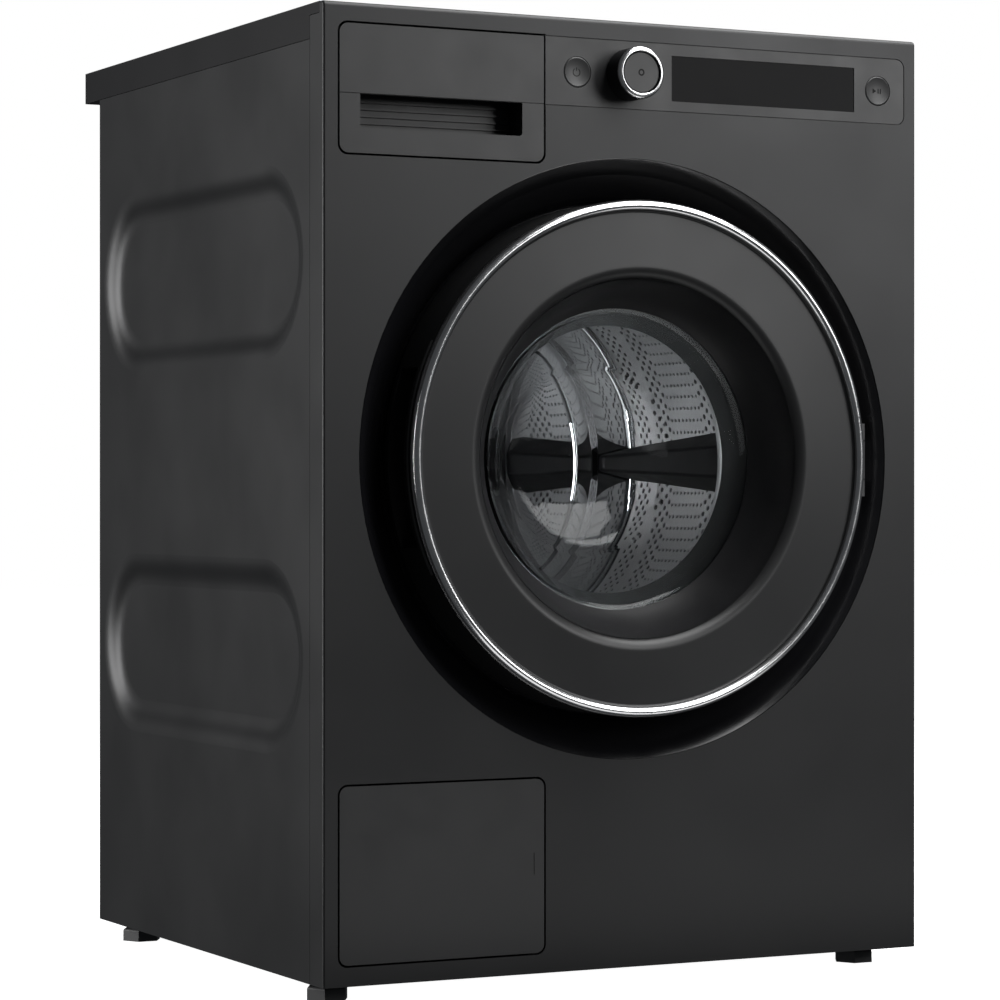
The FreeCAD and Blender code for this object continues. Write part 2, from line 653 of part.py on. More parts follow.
def tub():
    """Rear part of the tub: a round shell with its back wall and sump spout, and four lugs for the legs."""
    shell = round_back(rod(0, (TUB_FRONT + 4, TUB_BACK), AXIS_Z, TUB_R), 12)
    room = round_back(rod(0, (TUB_FRONT, TUB_BACK - TUB_WALL), AXIS_Z, TUB_R - TUB_WALL), 9)
    shell = shell.cut(room).cut(rod(0, (TUB_BACK - 20, TUB_BACK + 10), AXIS_Z, 34))
    drain = post(SUMP_X, SUMP_DEPTH, (170, 240), 12.5)
    around = rod(0, (TUB_FRONT, TUB_BACK), AXIS_Z, TUB_R)
    spout = post(SUMP_X, SUMP_DEPTH, (178, 216), 16).cut(around).cut(drain)
    lugs = []
    for x in (-LEG_X, LEG_X):
        for depth in LEG_DEPTHS:
            lug = block((x - 20, x + 20), (depth - 15, depth + 15), (LEG_TOP, 340))
            lugs.append(lug.cut(around))
    return Part.makeCompound([shell.cut(drain), spout, *lugs])


def tub_front():
    """Front part of the tub: a flat ring round the drum's mouth."""
    inner = TUB_R - TUB_WALL
    return lathe(
        [
            (TUB_MOUTH_R, TUB_FRONT),
            (TUB_R + 6, TUB_FRONT),
            (TUB_R + 6, TUB_FRONT + 4),
            (inner - 0.1, TUB_FRONT + 4),
            (inner - 0.1, TUB_FRONT + 9),
            (inner - 3, TUB_FRONT + 9),
            (inner - 3, TUB_FRONT + 3.5),
            (TUB_MOUTH_R, TUB_FRONT + 3.5),
        ]
    )


def door_seal():
    """Rubber bellows from the recess to the tub's mouth, with a lip that meets the door's glass."""
    front, edge = DISH_FLOOR + 2.6, DISH_OPENING_R
    return lathe(
        [
            (edge + 8, front),
            (edge + 8, 46),
            ((edge + 10.6, 55), "via", (edge + 8, 64)),
            (TUB_MOUTH_R + 11, 67),
            (TUB_MOUTH_R + 11, TUB_FRONT),
            (TUB_MOUTH_R, TUB_FRONT),
            (TUB_MOUTH_R, TUB_FRONT - 5),
            (TUB_MOUTH_R + 7.5, TUB_FRONT - 7),
            (TUB_MOUTH_R + 7.5, 65),
            (edge + 4.6, 61.5),
            ((edge + 7, 55), "via", (edge + 4.6, 48.6)),
            (edge, 47.6),
            (121.5, 50),
            (120.9, 48),
            (edge - 0.2, 44.6),
            (edge - 2, front),
        ]
    )


def counterweights():
    """Two half-ring weights on the tub's front and one block on its top, which hugs the shell."""
    ring = [(212.0, 52.0), (254.0, 52.0), (258.0, 56.0), (258.0, TUB_FRONT), (212.0, TUB_FRONT)]
    halves = [turned(lathe(ring, angle=128.0), turn) for turn in (26.0, 206.0)]
    slab = block((-60, 190), (140, 400), (640, 764)).cut(rod(0, (100, 460), AXIS_Z, TUB_R))
    return Part.makeCompound([*halves, slab])


def heater():
    """Heating element's two loops in the tub's bottom, with its flange on the tub's back."""
    half, front, height, radius = 20.0, 200.0, 221.0, 4.0
    bars = [bar((-half, half), front, height, radius)]
    for x in (-half, half):
        bars.append(rod(x, (front, TUB_BACK - TUB_WALL), height, radius))
        bars.append(Part.makeSphere(radius, at(x, front, height)))
    return fuse(bars)


def bearing_housing():
    """Four-armed casting on the tub's back that carries both bearings."""
    hub = rod(0, (434, 474), AXIS_Z, 33.5).fuse(rod(0, (TUB_BACK, 474), AXIS_Z, 44))
    arm = block((30, 236), (TUB_BACK, TUB_BACK + 14), (AXIS_Z - 13, AXIS_Z + 13))
    body = fuse([hub, *[turned(arm, 45 + 90 * i) for i in range(4)]])
    for depth, radius in (((430, 456), 26.0), ((459, 480), 24.0), ((430, 480), SHAFT_R + 1)):
        body = body.cut(rod(0, depth, AXIS_Z, radius))
    return body


def bearing(depth, outer):
    """Ball bearing as an outer race, an inner race and a ring of balls."""
    mid, ball = (outer + SHAFT_R) / 2, (outer - SHAFT_R) / 4.2
    middle = FRONT_Y + sum(depth) / 2
    groove = Part.makeTorus(mid, ball + 0.05, V(0, middle, AXIS_Z), V(0, 1, 0))
    races = [
        tube(0, depth, AXIS_Z, outer, mid + ball * 0.55).cut(groove),
        tube(0, depth, AXIS_Z, mid - ball * 0.55, SHAFT_R + 0.06).cut(groove),
    ]
    turns = [2 * math.pi * i / 9 for i in range(9)]
    balls = [
        Part.makeSphere(ball, V(mid * math.cos(a), middle, AXIS_Z + mid * math.sin(a))) for a in turns
    ]
    return [*races, *balls]


def drum_bearings():
    return Part.makeCompound([*bearing((442, 456), 26.0), *bearing((459, 473), 24.0)])


def motor():
    """Belt motor under the tub with two mounting lugs."""
    can = rod(MOTOR_X, (352, 462), MOTOR_Z, 56)
    ends = rod(MOTOR_X, (344, 352), MOTOR_Z, 46).fuse(rod(MOTOR_X, (462, 470), MOTOR_Z, 40))
    toward = math.degrees(math.atan2(0 - MOTOR_X, AXIS_Z - MOTOR_Z))
    lugs = []
    for depth in ((362, 374), (440, 452)):
        lug = block((MOTOR_X - 26, MOTOR_X + 26), depth, (MOTOR_Z + 40, MOTOR_Z + 92))
        lugs.append(turned(lug, toward, MOTOR_X, MOTOR_Z).cut(rod(0, (300, 480), AXIS_Z, TUB_R)))
    return fuse([can, ends, *lugs]).cut(rod(MOTOR_X, (400, 480), MOTOR_Z, 7.1)).removeSplitter()


def motor_pulley():
    """Rotor shaft with its grooved pulley."""
    shaft = rod(MOTOR_X, (400, 503), MOTOR_Z, 7.0)
    return shaft.fuse(rod(MOTOR_X, (476, 502), MOTOR_Z, MOTOR_PULLEY_R)).removeSplitter()


def belt_loop(gap):
    """Outline of a belt that stands a gap off both pulleys, as a face in the plane of the belt."""
    big, small = DRUM_PULLEY_R + gap, MOTOR_PULLEY_R + gap
    dx, dz = MOTOR_X, MOTOR_Z - AXIS_Z
    span = math.hypot(dx, dz)
    heading = math.atan2(dz, dx)
    open_angle = math.acos((big - small) / span)

    def rim(cx, cz, radius, angle):
        return (cx + radius * math.cos(angle), cz + radius * math.sin(angle))

    a, b = heading + open_angle, heading - open_angle
    points = [
        rim(0, AXIS_Z, big, a),
        (rim(0, AXIS_Z, big, heading + math.pi), "via", rim(0, AXIS_Z, big, b)),
        rim(MOTOR_X, MOTOR_Z, small, b),
        (rim(MOTOR_X, MOTOR_Z, small, heading), "via", rim(MOTOR_X, MOTOR_Z, small, a)),
    ]
    return Part.Face(outline(points, lambda x, z: V(x, FRONT_Y + BELT_DEPTH - 8, z)))


def drive_belt():
    return belt_loop(4.3).cut(belt_loop(0.3)).extrude(V(0, 16, 0))


def door_lock():
    """Lock block behind the recess, with a pocket for the door's hook."""
    body = block((LATCH_X - 32, LATCH_X + 9.5), (LOCK_FRONT, 76), (AXIS_Z - 32, AXIS_Z + 32))
    return body.cut(block((LATCH_X - 14, LATCH_X + 3.6), (40, 72), (AXIS_Z - 12, AXIS_Z + 12)))


def hinge_bracket():
    """Bracket behind the recess whose arm carries the door's hinge pin."""
    foot_plate = block((HINGE_X - 28, HINGE_X + 20), (LOCK_FRONT, 44), (AXIS_Z - 40, AXIS_Z + 40))
    arm = block((HINGE_X - 3, HINGE_X + 3), (HINGE_DEPTH, 42), (AXIS_Z - 17, AXIS_Z + 17))
    knuckle = post(HINGE_X, HINGE_DEPTH, (AXIS_Z - 17, AXIS_Z + 17), KNUCKLE_R)
    body = fuse([foot_plate, arm, knuckle])
    return body.cut(post(HINGE_X, HINGE_DEPTH, (AXIS_Z - 30, AXIS_Z + 30), HINGE_PIN_R + 0.06))


# ---- suspension legs -----------------------------------------------------------------------------------
LEG_SEAT = 46.0  # bottom spring seat


def leg_cylinder(x, depth):
    """Damper cylinder on the base, with the seat for its spring."""
    body = post(x, depth, (BASE_TOP, 160), 15.0).fuse(post(x, depth, (BASE_TOP, LEG_SEAT), 27.0))
    return body.cut(post(x, depth, (60, 170), 12.0)).removeSplitter()


def leg_piston(x, depth):
    """Damper piston and rod under the tub's lug, with the upper spring seat."""
    piston = post(x, depth, (92, 112), 11.7)
    return fuse([piston, post(x, depth, (105, LEG_TOP), 6.0), post(x, depth, (LEG_TOP - 10, LEG_TOP), 27.0)])


def leg_spring(x, depth):
    """Coil spring between the two seats."""
    wire, radius, turns = 2.8, 21.5, 7
    low, high = LEG_SEAT + wire + 0.4, LEG_TOP - 10 - wire - 0.4
    helix = Part.makeHelix((high - low) / turns, high - low, radius)
    section = Part.Wire([Part.makeCircle(wire, V(radius, 0, 0), V(0, 1, 0))])
    spring = Part.Wire(helix).makePipeShell([section], True, True)
    spring.translate(at(x, depth, low))
    return spring


def at_each_leg(make):
    return Part.makeCompound([make(x, depth) for x in (-LEG_X, LEG_X) for depth in LEG_DEPTHS])


# ---- drum ----------------------------------------------------------------------------------------------
LIFTER_COUNT = 4


def drum_shell():
    """Drum's side wall in one piece with its front wall, which ends in a rolled lip round the mouth."""
    mouth, front, inner = DRUM_MOUTH_R, DRUM_FRONT, DRUM_R - 1.2
    return lathe(
        [
            (mouth, front + 6),
            ((mouth + 1.8, front - 4), "via", (mouth + 10, front - 7)),
            ((mouth + 16, front - 5.5), "via", (mouth + 21, front)),
            (DRUM_R - 8, front),
            ((DRUM_R - 2.3, front + 2.3), "via", (DRUM_R, front + 8)),
            (DRUM_R, DRUM_BACK - 8),
            (inner, DRUM_BACK - 8),
            (inner, front + 8),
            ((DRUM_R - 3.2, front + 3.2), "via", (DRUM_R - 8, front + 1.2)),
            (mouth + 21.5, front + 1.2),
            ((mouth + 16.4, front - 4.2), "via", (mouth + 10, front - 5.8)),
            ((mouth + 3.0, front - 3.2), "via", (mouth + 1.2, front + 6)),
        ]
    )


def drum_back():
    """Drum's back wall: a bend from the shell, a stepped ring, and a flat disc round the hub."""
    face = DRUM_BACK
    return lathe(
        [
            (DRUM_R - 1.2, face - 8),
            ((DRUM_R - 3.6, face - 3.6), "via", (DRUM_R - 9, face - 1.2)),
            (198.0, face - 1.2),
            (186.0, face - 9.0),
            (170.0, face - 9.0),
            (166.0, face - 6.0),
            (30.0, face - 6.0),
            (30.0, face - 4.8),
            (165.5, face - 4.8),
            (169.5, face - 7.8),
            (185.6, face - 7.8),
            (197.6, face),
            (DRUM_R - 9, face),
            ((DRUM_R - 2.7, face - 2.7), "via", (DRUM_R, face - 8)),
        ]
    )


def lifter(turn):
    """Tapered paddle inside the drum, wide at the front and narrow at the back."""
    inner_r = DRUM_R - 1.3

    def section(depth, half_width, height):
        crown, top, y = half_width * 0.45, DRUM_R - height, FRONT_Y + depth
        corners = [
            (inner_r - 3, -half_width),
            (top, -crown),
            (top, crown),
            (inner_r - 3, half_width),
            (DRUM_R + 4, half_width),
            (DRUM_R + 4, -half_width),
            (inner_r - 3, -half_width),
        ]
        return Part.makePolygon([V(x, y, AXIS_Z + z) for x, z in corners])

    front, back = DRUM_FRONT + 14, DRUM_BACK - 12
    body = Part.makeLoft([section(front, 40, 40), section(back, 17, 46)], True, True)
    body = body.common(rod(0, (front, back), AXIS_Z, inner_r))
    crest = edges_at(body, lambda b: b.XMax < DRUM_R - 35 and b.YLength > 200)
    return turned(body.makeFillet(4.0, crest), turn)


def lifters():
    return Part.makeCompound([lifter(360 / LIFTER_COUNT * i) for i in range(LIFTER_COUNT)])


def drum_hub():
    """Shaft with its four-armed cross behind the drum."""
    shaft = rod(0, (DRUM_BACK - 4.7, 503), AXIS_Z, SHAFT_R)
    boss = rod(0, (DRUM_BACK - 4.7, 433), AXIS_Z, 29.5)
    arm = block((20, 232), (DRUM_BACK + 0.1, 433), (AXIS_Z - 15, AXIS_Z + 15))
    return fuse([shaft, boss, *[turned(arm, 45 + 90 * i) for i in range(4)]])


def hub_cover():
    """Dark domed cover over the hub, inside the drum."""
    back = DRUM_BACK - 6.0
    return lathe(
        [
            (0, back - 12),
            ((30, back - 9.5), "via", (52, back - 1.5)),
            (52, back),
            (30, back),
            (30, back + 1.1),
            (0, back + 1.1),
        ]
    )


def drum_pulley():
    """Spoked belt pulley on the end of the drum's shaft."""
    rim = tube(0, (479, 499), AXIS_Z, DRUM_PULLEY_R, DRUM_PULLEY_R - 8)
    hub = tube(0, (476, 501), AXIS_Z, 28, SHAFT_R)
    spoke = block((24, DRUM_PULLEY_R - 6), (485, 493), (AXIS_Z - 9, AXIS_Z + 9))
    return fuse([rim, hub, *[turned(spoke, 60 * i) for i in range(6)]])


# ---- door ----------------------------------------------------------------------------------------------
DOOR_BACK = 34.0
RING_SEAT = -20.0
GRIP_ANGLES = (160.0, 200.0)  # ends of the finger pocket in the door's left side


def door_ring():
    """Bright trim ring round the door's face."""
    return lathe(
        [
            (DOOR_R - 8.6, RING_SEAT),
            (DOOR_R - 8.6, -DOOR_PROUD + 2.6),
            ((DOOR_R - 4.6, -DOOR_PROUD), "via", (DOOR_R - 0.6, -DOOR_PROUD + 3.2)),
            (DOOR_R + 0.4, -DOOR_PROUD + 6),
            (DOOR_R + 0.4, RING_SEAT),
        ]
    )


def door_face():
    """Satin face ring, nearly flat, with a rounded step down to the funnel."""
    return lathe(
        [
            (DOOR_R - 9.0, RING_SEAT),
            (DOOR_R - 9.0, -DOOR_PROUD + 5.4),
            ((DOOR_R - 9.8, -21.9), "via", (DOOR_R - 11.5, -21.6)),
            (170.0, -20.6),
            ((162.2, -19.2), "via", (FUNNEL_R + 0.4, -14.8)),
            (FUNNEL_R + 0.4, -12.2),
            (164.0, -15.6),
            (172.0, -16.4),
            (207.0, -16.4),
            (207.0, RING_SEAT),
        ]
    )


def door_funnel():
    """Funnel from the door's face down to the glass."""
    return lathe(
        [
            (FUNNEL_R, -14.8),
            ((149.5, 4.0), "via", (GLASS_R, 25.5)),
            (GLASS_R, 26.8),
            (150.0, 26.8),
            (150.0, 24.3),
            (139.0, 24.3),
            ((152.6, 4.0), "via", (FUNNEL_R + 2.6, -10.0)),
            (FUNNEL_R + 2.6, -10.6),
            (FUNNEL_R + 0.4, -12.2),
        ]
    )


def door_glass():
    """Glass bowl with a flat flange and a flat, round-edged bottom."""
    wall = 4.0
    return lathe(
        [
            (148.0, 26.8),
            (GLASS_R, 26.8),
            ((GLASS_R - 4, 28.5), "via", (GLASS_R - 7, 33)),
            (86.0, 84.0),
            ((76.0, 93.0), "via", (62.0, 97.0)),
            (0, 100.0),
            (0, 100.0 + wall),
            (62.5, 97.0 + wall),
            ((78.4, 96.4), "via", (89.0, 87.0)),
            (GLASS_R - 4, 35.6),
            ((GLASS_R - 1, 32.0), "via", (GLASS_R + 3, 30.8)),
            (148.0, 30.8),
        ]
    )


LATCH_PIVOT_DEPTH = 27.5
LATCH_PIN_R = 2.0


def wedge(points, low, high):
    """Part of a ring about the drum's axis, between two angles counted from the right over the top."""
    return turned(lathe(points, angle=high - low), -high)


def door_shell():
    """Door's side and back in one piece, with a finger pocket and its lip on the left and a seat for the hook."""
    shell = lathe(
        [
            (142.0, DOOR_BACK - 3),
            (DOOR_R - 3.5, DOOR_BACK - 3),
            (DOOR_R - 3.5, -15.8),
            (208.0, -15.8),
            (208.0, RING_SEAT),
            (DOOR_R, RING_SEAT),
            (DOOR_R, DOOR_BACK - 3),
            ((DOOR_R - 0.9, DOOR_BACK - 0.9), "via", (DOOR_R - 3, DOOR_BACK)),
            (142.0, DOOR_BACK),
        ]
    )
    low, high = GRIP_ANGLES
    wall = wedge([(198, -14.5), (224, -14.5), (224, 28), (198, 28)], low - 1, high + 1)
    pocket = wedge([(201, -11), (230, -11), (230, 25), (201, 25)], low, high)
    lip_profile = [
        (DOOR_R - 1, -11.5),
        (DOOR_R + 1.8, -11.0),
        (DOOR_R + 2.2, -15.5),
        ((DOOR_R + 1.6, -17.6), "via", (DOOR_R - 1, -17.0)),
    ]
    lip = wedge(lip_profile, 154.0, 206.0)
    shell = shell.fuse(wall).cut(pocket).fuse(lip)
    shell = shell.cut(block((LATCH_X - 12, LATCH_X + 7), (DOOR_BACK - 4, 45), (AXIS_Z - 5, AXIS_Z + 5)))
    pin = post(LATCH_X, LATCH_PIVOT_DEPTH, (AXIS_Z - 9, AXIS_Z + 9), LATCH_PIN_R)
    cheeks = [
        block((LATCH_X - 6, LATCH_X + 6), (LATCH_PIVOT_DEPTH - 6, DOOR_BACK - 3), (low, low + 4))
        for low in (AXIS_Z - 9, AXIS_Z + 5)
    ]
    return fuse([shell, pin, *cheeks])


def hinge_leaf():
    """Hinge pin with two knuckles and their webs on the door's right edge."""
    solids = [post(HINGE_X, HINGE_DEPTH, (AXIS_Z - 33, AXIS_Z + 33), HINGE_PIN_R)]
    for low, high in ((AXIS_Z - 33, AXIS_Z - 18), (AXIS_Z + 18, AXIS_Z + 33)):
        knuckle = post(HINGE_X, HINGE_DEPTH, (low, high), KNUCKLE_R)
        web = block((220, HINGE_X), (HINGE_DEPTH - 4, HINGE_DEPTH + 2), (low, high))
        solids.append(knuckle.fuse(web.cut(rod(0, (-30, 60), AXIS_Z, DOOR_R))))
    return fuse(solids)


def latch_hook():
    """Sprung hook on the door, which reaches back into the lock."""
    z = (AXIS_Z - 3, AXIS_Z + 3)
    eye = post(LATCH_X, LATCH_PIVOT_DEPTH, z, 4.2)
    arm = block((LATCH_X - 2.5, LATCH_X + 2.5), (LATCH_PIVOT_DEPTH, 66), z)
    nose = block((LATCH_X - 7, LATCH_X + 2.5), (60, 68), z)
    hook = fuse([eye, arm, nose])
    return hook.cut(post(LATCH_X, LATCH_PIVOT_DEPTH, grown(z, 6), LATCH_PIN_R + 0.06))


# ---- services ------------------------------------------------------------------------------------------
def inlet_valve():
    """Water valve at the back with its threaded pipe and coil."""
    pipe = rod(VALVE_X, (CABINET_DEPTH - 20, CABINET_DEPTH + 22), VALVE_Z, 13.2)
    flange = rod(VALVE_X, (CABINET_DEPTH - 6, CABINET_DEPTH - SHEET), VALVE_Z, 20)
    body = block((VALVE_X - 18, VALVE_X + 18), (CABINET_DEPTH - 52, CABINET_DEPTH - 18), (VALVE_Z - 16, VALVE_Z + 16))
    coil = post(VALVE_X, CABINET_DEPTH - 36, (VALVE_Z + 14, VALVE_Z + 42), 13)
    nozzle = rod(VALVE_X, (CABINET_DEPTH - 70, CABINET_DEPTH - 50), VALVE_Z, 6)
    shape = fuse([pipe, flange, body, coil, nozzle])
    return shape.cut(rod(VALVE_X, (CABINET_DEPTH - 10, CABINET_DEPTH + 30), VALVE_Z, 9.5))


def hose_path(points, radius):
    """Round hose along straight runs joined by tangent arcs as large as the runs allow."""
    runs = [(b - a).Length for a, b in zip(points, points[1:])]
    edges, start = [], points[0]
    for i in range(1, len(points) - 1):
        into = (points[i] - points[i - 1]).normalize()
        out = (points[i + 1] - points[i]).normalize()
        cut = 0.45 * min(runs[i - 1], runs[i])
        a, b = points[i] - into * cut, points[i] + out * cut
        half = into.getAngle(out) / 2
        bend = cut / math.tan(half)
        to_middle = (out - into).normalize()
        centre = points[i] + to_middle * (bend / math.cos(half))
        edges.append(Part.LineSegment(start, a).toShape())
        edges.append(Part.Arc(a, centre - to_middle * bend, b).toShape())
        start = b
    edges.append(Part.LineSegment(start, points[-1]).toShape())
    path = Part.Wire(edges)
    along = (points[1] - points[0]).normalize()
    section = Part.Wire([Part.makeCircle(radius, points[0], along)])
    return path.makePipeShell([section], True, False)


def drain_hose():
    """Hose from the pump's outlet up the left rear corner, which ends in a stub through the rear panel."""
    hose = hose_path(
        [
            at(PUMP_X, 92, OUTLET_Z),
            at(PUMP_X, 92, 196),
            at(-236, 112, 222),
            at(-266, 190, 232),
            at(-268, 290, 240),
            at(-268, 390, 262),
            at(-267, 470, 330),
            at(-262, 500, 440),
            at(-250, 505, 560),
            at(-240, 500, 660),
            at(DRAIN_X, 470, DRAIN_Z - 20),
            at(DRAIN_X, 512, DRAIN_Z),
        ],
        11.0,
    )
    pipe = rod(DRAIN_X, (512, CABINET_DEPTH + 30), DRAIN_Z, 10.5)
    flange = rod(DRAIN_X, (CABINET_DEPTH, CABINET_DEPTH + 3), DRAIN_Z, 17)
    stub = pipe.fuse(flange).cut(rod(DRAIN_X, (520, CABINET_DEPTH + 31), DRAIN_Z, 8.0))
    return Part.makeCompound([hose, stub])


def mains_gland():
    """Gland in the rear panel for the mains lead."""
    bush = rod(MAINS_X, (CABINET_DEPTH - 6, CABINET_DEPTH), MAINS_Z, 8.8)
    head = rod(MAINS_X, (CABINET_DEPTH, CABINET_DEPTH + 5), MAINS_Z, 12)
    return bush.fuse(head).cut(rod(MAINS_X, (CABINET_DEPTH - 10, CABINET_DEPTH + 10), MAINS_Z, 3.6))


# ---- the whole machine ---------------------------------------------------------------------------------
def build():
    parts = {
        "front_panel": front_panel(),
        "left_side_panel": side_panel(-1),
        "right_side_panel": side_panel(1),
        "worktop": worktop(),
        "rear_panel": rear_panel(),
        "rear_cover": rear_cover(),
        "rear_cover_screws": rear_cover_screws(),
        "base_plate": base_plate(),
        "door_recess": door_recess(),
        "control_fascia": control_fascia(),
        "screen": screen(),
        "power_button": push_button(POWER_X),
        "start_button": push_button(START_X),
        "knob_sleeve": knob_sleeve(),
        "knob_ring": knob_ring(),
        "knob_cap": knob_cap(),
        "drawer_front": drawer_front(),
        "drawer_tray": drawer_tray(),
        "dispenser_housing": dispenser_housing(),
        "service_flap": service_flap(),
        "flap_frame": flap_frame(),
        "drain_pump": pump_housing(),
        "filter_cap": filter_cap(),
        "pump_impeller": pump_impeller(),
        "sump_hose": sump_hose(),
        "tub": tub(),
        "tub_front": tub_front(),
        "door_seal": door_seal(),
        "counterweights": counterweights(),
        "heater": heater(),
        "bearing_housing": bearing_housing(),
        "drum_bearings": drum_bearings(),
        "motor": motor(),
        "motor_pulley": motor_pulley(),
        "drive_belt": drive_belt(),
        "leg_cylinders": at_each_leg(leg_cylinder),
        "leg_pistons": at_each_leg(leg_piston),
        "leg_springs": at_each_leg(leg_spring),
        "drum_shell": drum_shell(),
        "drum_back": drum_back(),
        "lifters": lifters(),
        "drum_hub": drum_hub(),
        "hub_cover": hub_cover(),
        "drum_pulley": drum_pulley(),
        "door_ring": door_ring(),
        "door_face": door_face(),
        "door_funnel": door_funnel(),
        "door_glass": door_glass(),
        "door_shell": door_shell(),
        "hinge_leaf": hinge_leaf(),
        "hinge_bracket": hinge_bracket(),
        "latch_hook": latch_hook(),
        "door_lock": door_lock(),
        "inlet_valve": inlet_valve(),
        "drain_hose": drain_hose(),
        "mains_gland": mains_gland(),
    }
    for name, depth in FOOT_DEPTHS.items():
        parts[f"{name}_left_foot"] = foot(-1, depth)
        parts[f"{name}_right_foot"] = foot(1, depth)
    return parts


os.makedirs("parts", exist_ok=True)
for name, shape in build().items():
    if not shape.isValid():
        print("not valid:", name)
    shape.exportStep(f"parts/{name}.step")
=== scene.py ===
import json
import math

import bmesh
import bpy
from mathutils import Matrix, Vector


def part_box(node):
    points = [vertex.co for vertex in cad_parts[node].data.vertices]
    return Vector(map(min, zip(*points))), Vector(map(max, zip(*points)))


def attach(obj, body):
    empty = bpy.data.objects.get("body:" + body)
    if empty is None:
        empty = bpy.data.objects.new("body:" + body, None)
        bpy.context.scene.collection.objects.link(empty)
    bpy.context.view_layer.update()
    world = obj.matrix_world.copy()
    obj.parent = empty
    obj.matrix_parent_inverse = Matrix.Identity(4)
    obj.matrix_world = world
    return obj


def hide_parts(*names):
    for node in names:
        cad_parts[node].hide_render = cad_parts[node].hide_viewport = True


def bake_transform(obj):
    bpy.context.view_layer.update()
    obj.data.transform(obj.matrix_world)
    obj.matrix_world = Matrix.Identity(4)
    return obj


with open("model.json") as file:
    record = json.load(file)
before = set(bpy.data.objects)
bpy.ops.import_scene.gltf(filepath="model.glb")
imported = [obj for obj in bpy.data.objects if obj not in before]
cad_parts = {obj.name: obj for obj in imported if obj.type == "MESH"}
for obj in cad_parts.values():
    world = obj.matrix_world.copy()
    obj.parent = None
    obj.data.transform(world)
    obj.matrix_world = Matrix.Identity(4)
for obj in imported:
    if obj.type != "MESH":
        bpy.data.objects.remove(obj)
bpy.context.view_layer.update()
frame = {"nodes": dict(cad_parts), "record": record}

NODES = frame["nodes"]
MM = 0.001  # metres in a millimetre; sizes below are in millimetres unless they are lamps or the camera


# ---- places from the frame --------------------------------------------------------------------------
def joint_place(name):
    """The point a hinge turns about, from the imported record."""
    joints = frame["record"]["behaviour"]["joints"]
    return Vector(next(j["pos_m"] for j in joints if j["name"] == name))


FRONT_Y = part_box("front_panel")[0][1]  # the cabinet's front face
AXIS_Z = joint_place("drum_spin").z
AXIS_UP = AXIS_Z / MM  # height of the drum's axis above the floor


# ---- materials --------------------------------------------------------------------------------------
NOISE_LOW, NOISE_HIGH = 0.3, 0.7  # a noise stays mostly between these
FINE_BUMP = 0.0001  # depth of paint and plastic grain, in metres


def new_material(name, colour, roughness, **sockets):
    """Principled material with the values that are the same all over set on its own sockets."""
    material = bpy.data.materials.new(name)
    material.use_nodes = True
    shader = material.node_tree.nodes["Principled BSDF"]
    shader.inputs["Base Color"].default_value = (*colour, 1)
    shader.inputs["Roughness"].default_value = roughness
    for socket, value in sockets.items():
        shader.inputs[socket.replace("_", " ")].default_value = value
    return material


def add_node(material, kind, **values):
    """Shader node with values set on its sockets, or on itself."""
    node = material.node_tree.nodes.new(kind)
    for key, value in values.items():
        if key in node.inputs:
            node.inputs[key].default_value = value
        else:
            setattr(node, key, value)
    return node


def wire(material, source, target):
    material.node_tree.links.new(source, target)


def object_noise(material, scale, stretch=(1, 1, 1), detail=3.0):
    """Noise that sits still on the object, stretched along its axes."""
    coords = add_node(material, "ShaderNodeTexCoord")
    mapping = add_node(material, "ShaderNodeMapping")
    mapping.inputs["Scale"].default_value = stretch
    noise = add_node(material, "ShaderNodeTexNoise", Scale=scale, Detail=detail)
    wire(material, coords.outputs["Object"], mapping.inputs["Vector"])
    wire(material, mapping.outputs["Vector"], noise.inputs["Vector"])
    return noise.outputs["Fac"]


def vary(material, socket, noise, low, high):
    """Drives a socket between two values, numbers or colours, with a noise."""
    shader = material.node_tree.nodes["Principled BSDF"]
    if isinstance(low, tuple):
        ramp = add_node(material, "ShaderNodeValToRGB")
        first, last = ramp.color_ramp.elements
        first.position, last.position = NOISE_LOW, NOISE_HIGH
        first.color, last.color = (*low, 1), (*high, 1)
        wire(material, noise, ramp.inputs["Fac"])
        wire(material, ramp.outputs["Color"], shader.inputs[socket])
        return
    spread = add_node(material, "ShaderNodeMapRange")
    spread.inputs["From Min"].default_value = NOISE_LOW
    spread.inputs["From Max"].default_value = NOISE_HIGH
    spread.inputs["To Min"].default_value = low
    spread.inputs["To Max"].default_value = high
    wire(material, noise, spread.inputs["Value"])
    wire(material, spread.outputs["Result"], shader.inputs[socket])


def roughen(material, noise, strength, distance=FINE_BUMP):
    """Small bumps from a noise."""
    bump = add_node(material, "ShaderNodeBump", Strength=strength, Distance=distance)
    shader = material.node_tree.nodes["Principled BSDF"]
    wire(material, noise, bump.inputs["Height"])
    wire(material, bump.outputs["Normal"], shader.inputs["Normal"])


def tint(colour, factor):
    return tuple(c * factor for c in colour)


def painted(name, colour, roughness, metallic=0.0, grain=1400, bump=0.12, **sockets):
    """Satin powder paint: a fine grain, slow drifts of tone and gloss."""
    material = new_material(name, colour, roughness, Metallic=metallic, **sockets)
    vary(material, "Base Color", object_noise(material, 4.0), tint(colour, 0.9), tint(colour, 1.1))
    vary(material, "Roughness", object_noise(material, 9.0), roughness - 0.03, roughness + 0.03)
    roughen(material, object_noise(material, grain, detail=2.0), bump)
    return material


def moulded(name, colour, roughness, grain=2200, bump=0.1, **sockets):
    """Moulded plastic with a fine spark-eroded grain."""
    material = new_material(name, colour, roughness, **sockets)
    vary(material, "Base Color", object_noise(material, 6.0), tint(colour, 0.93), tint(colour, 1.07))
    vary(material, "Roughness", object_noise(material, 30.0), roughness - 0.04, roughness + 0.04)
    roughen(material, object_noise(material, grain, detail=2.0), bump)
    return material


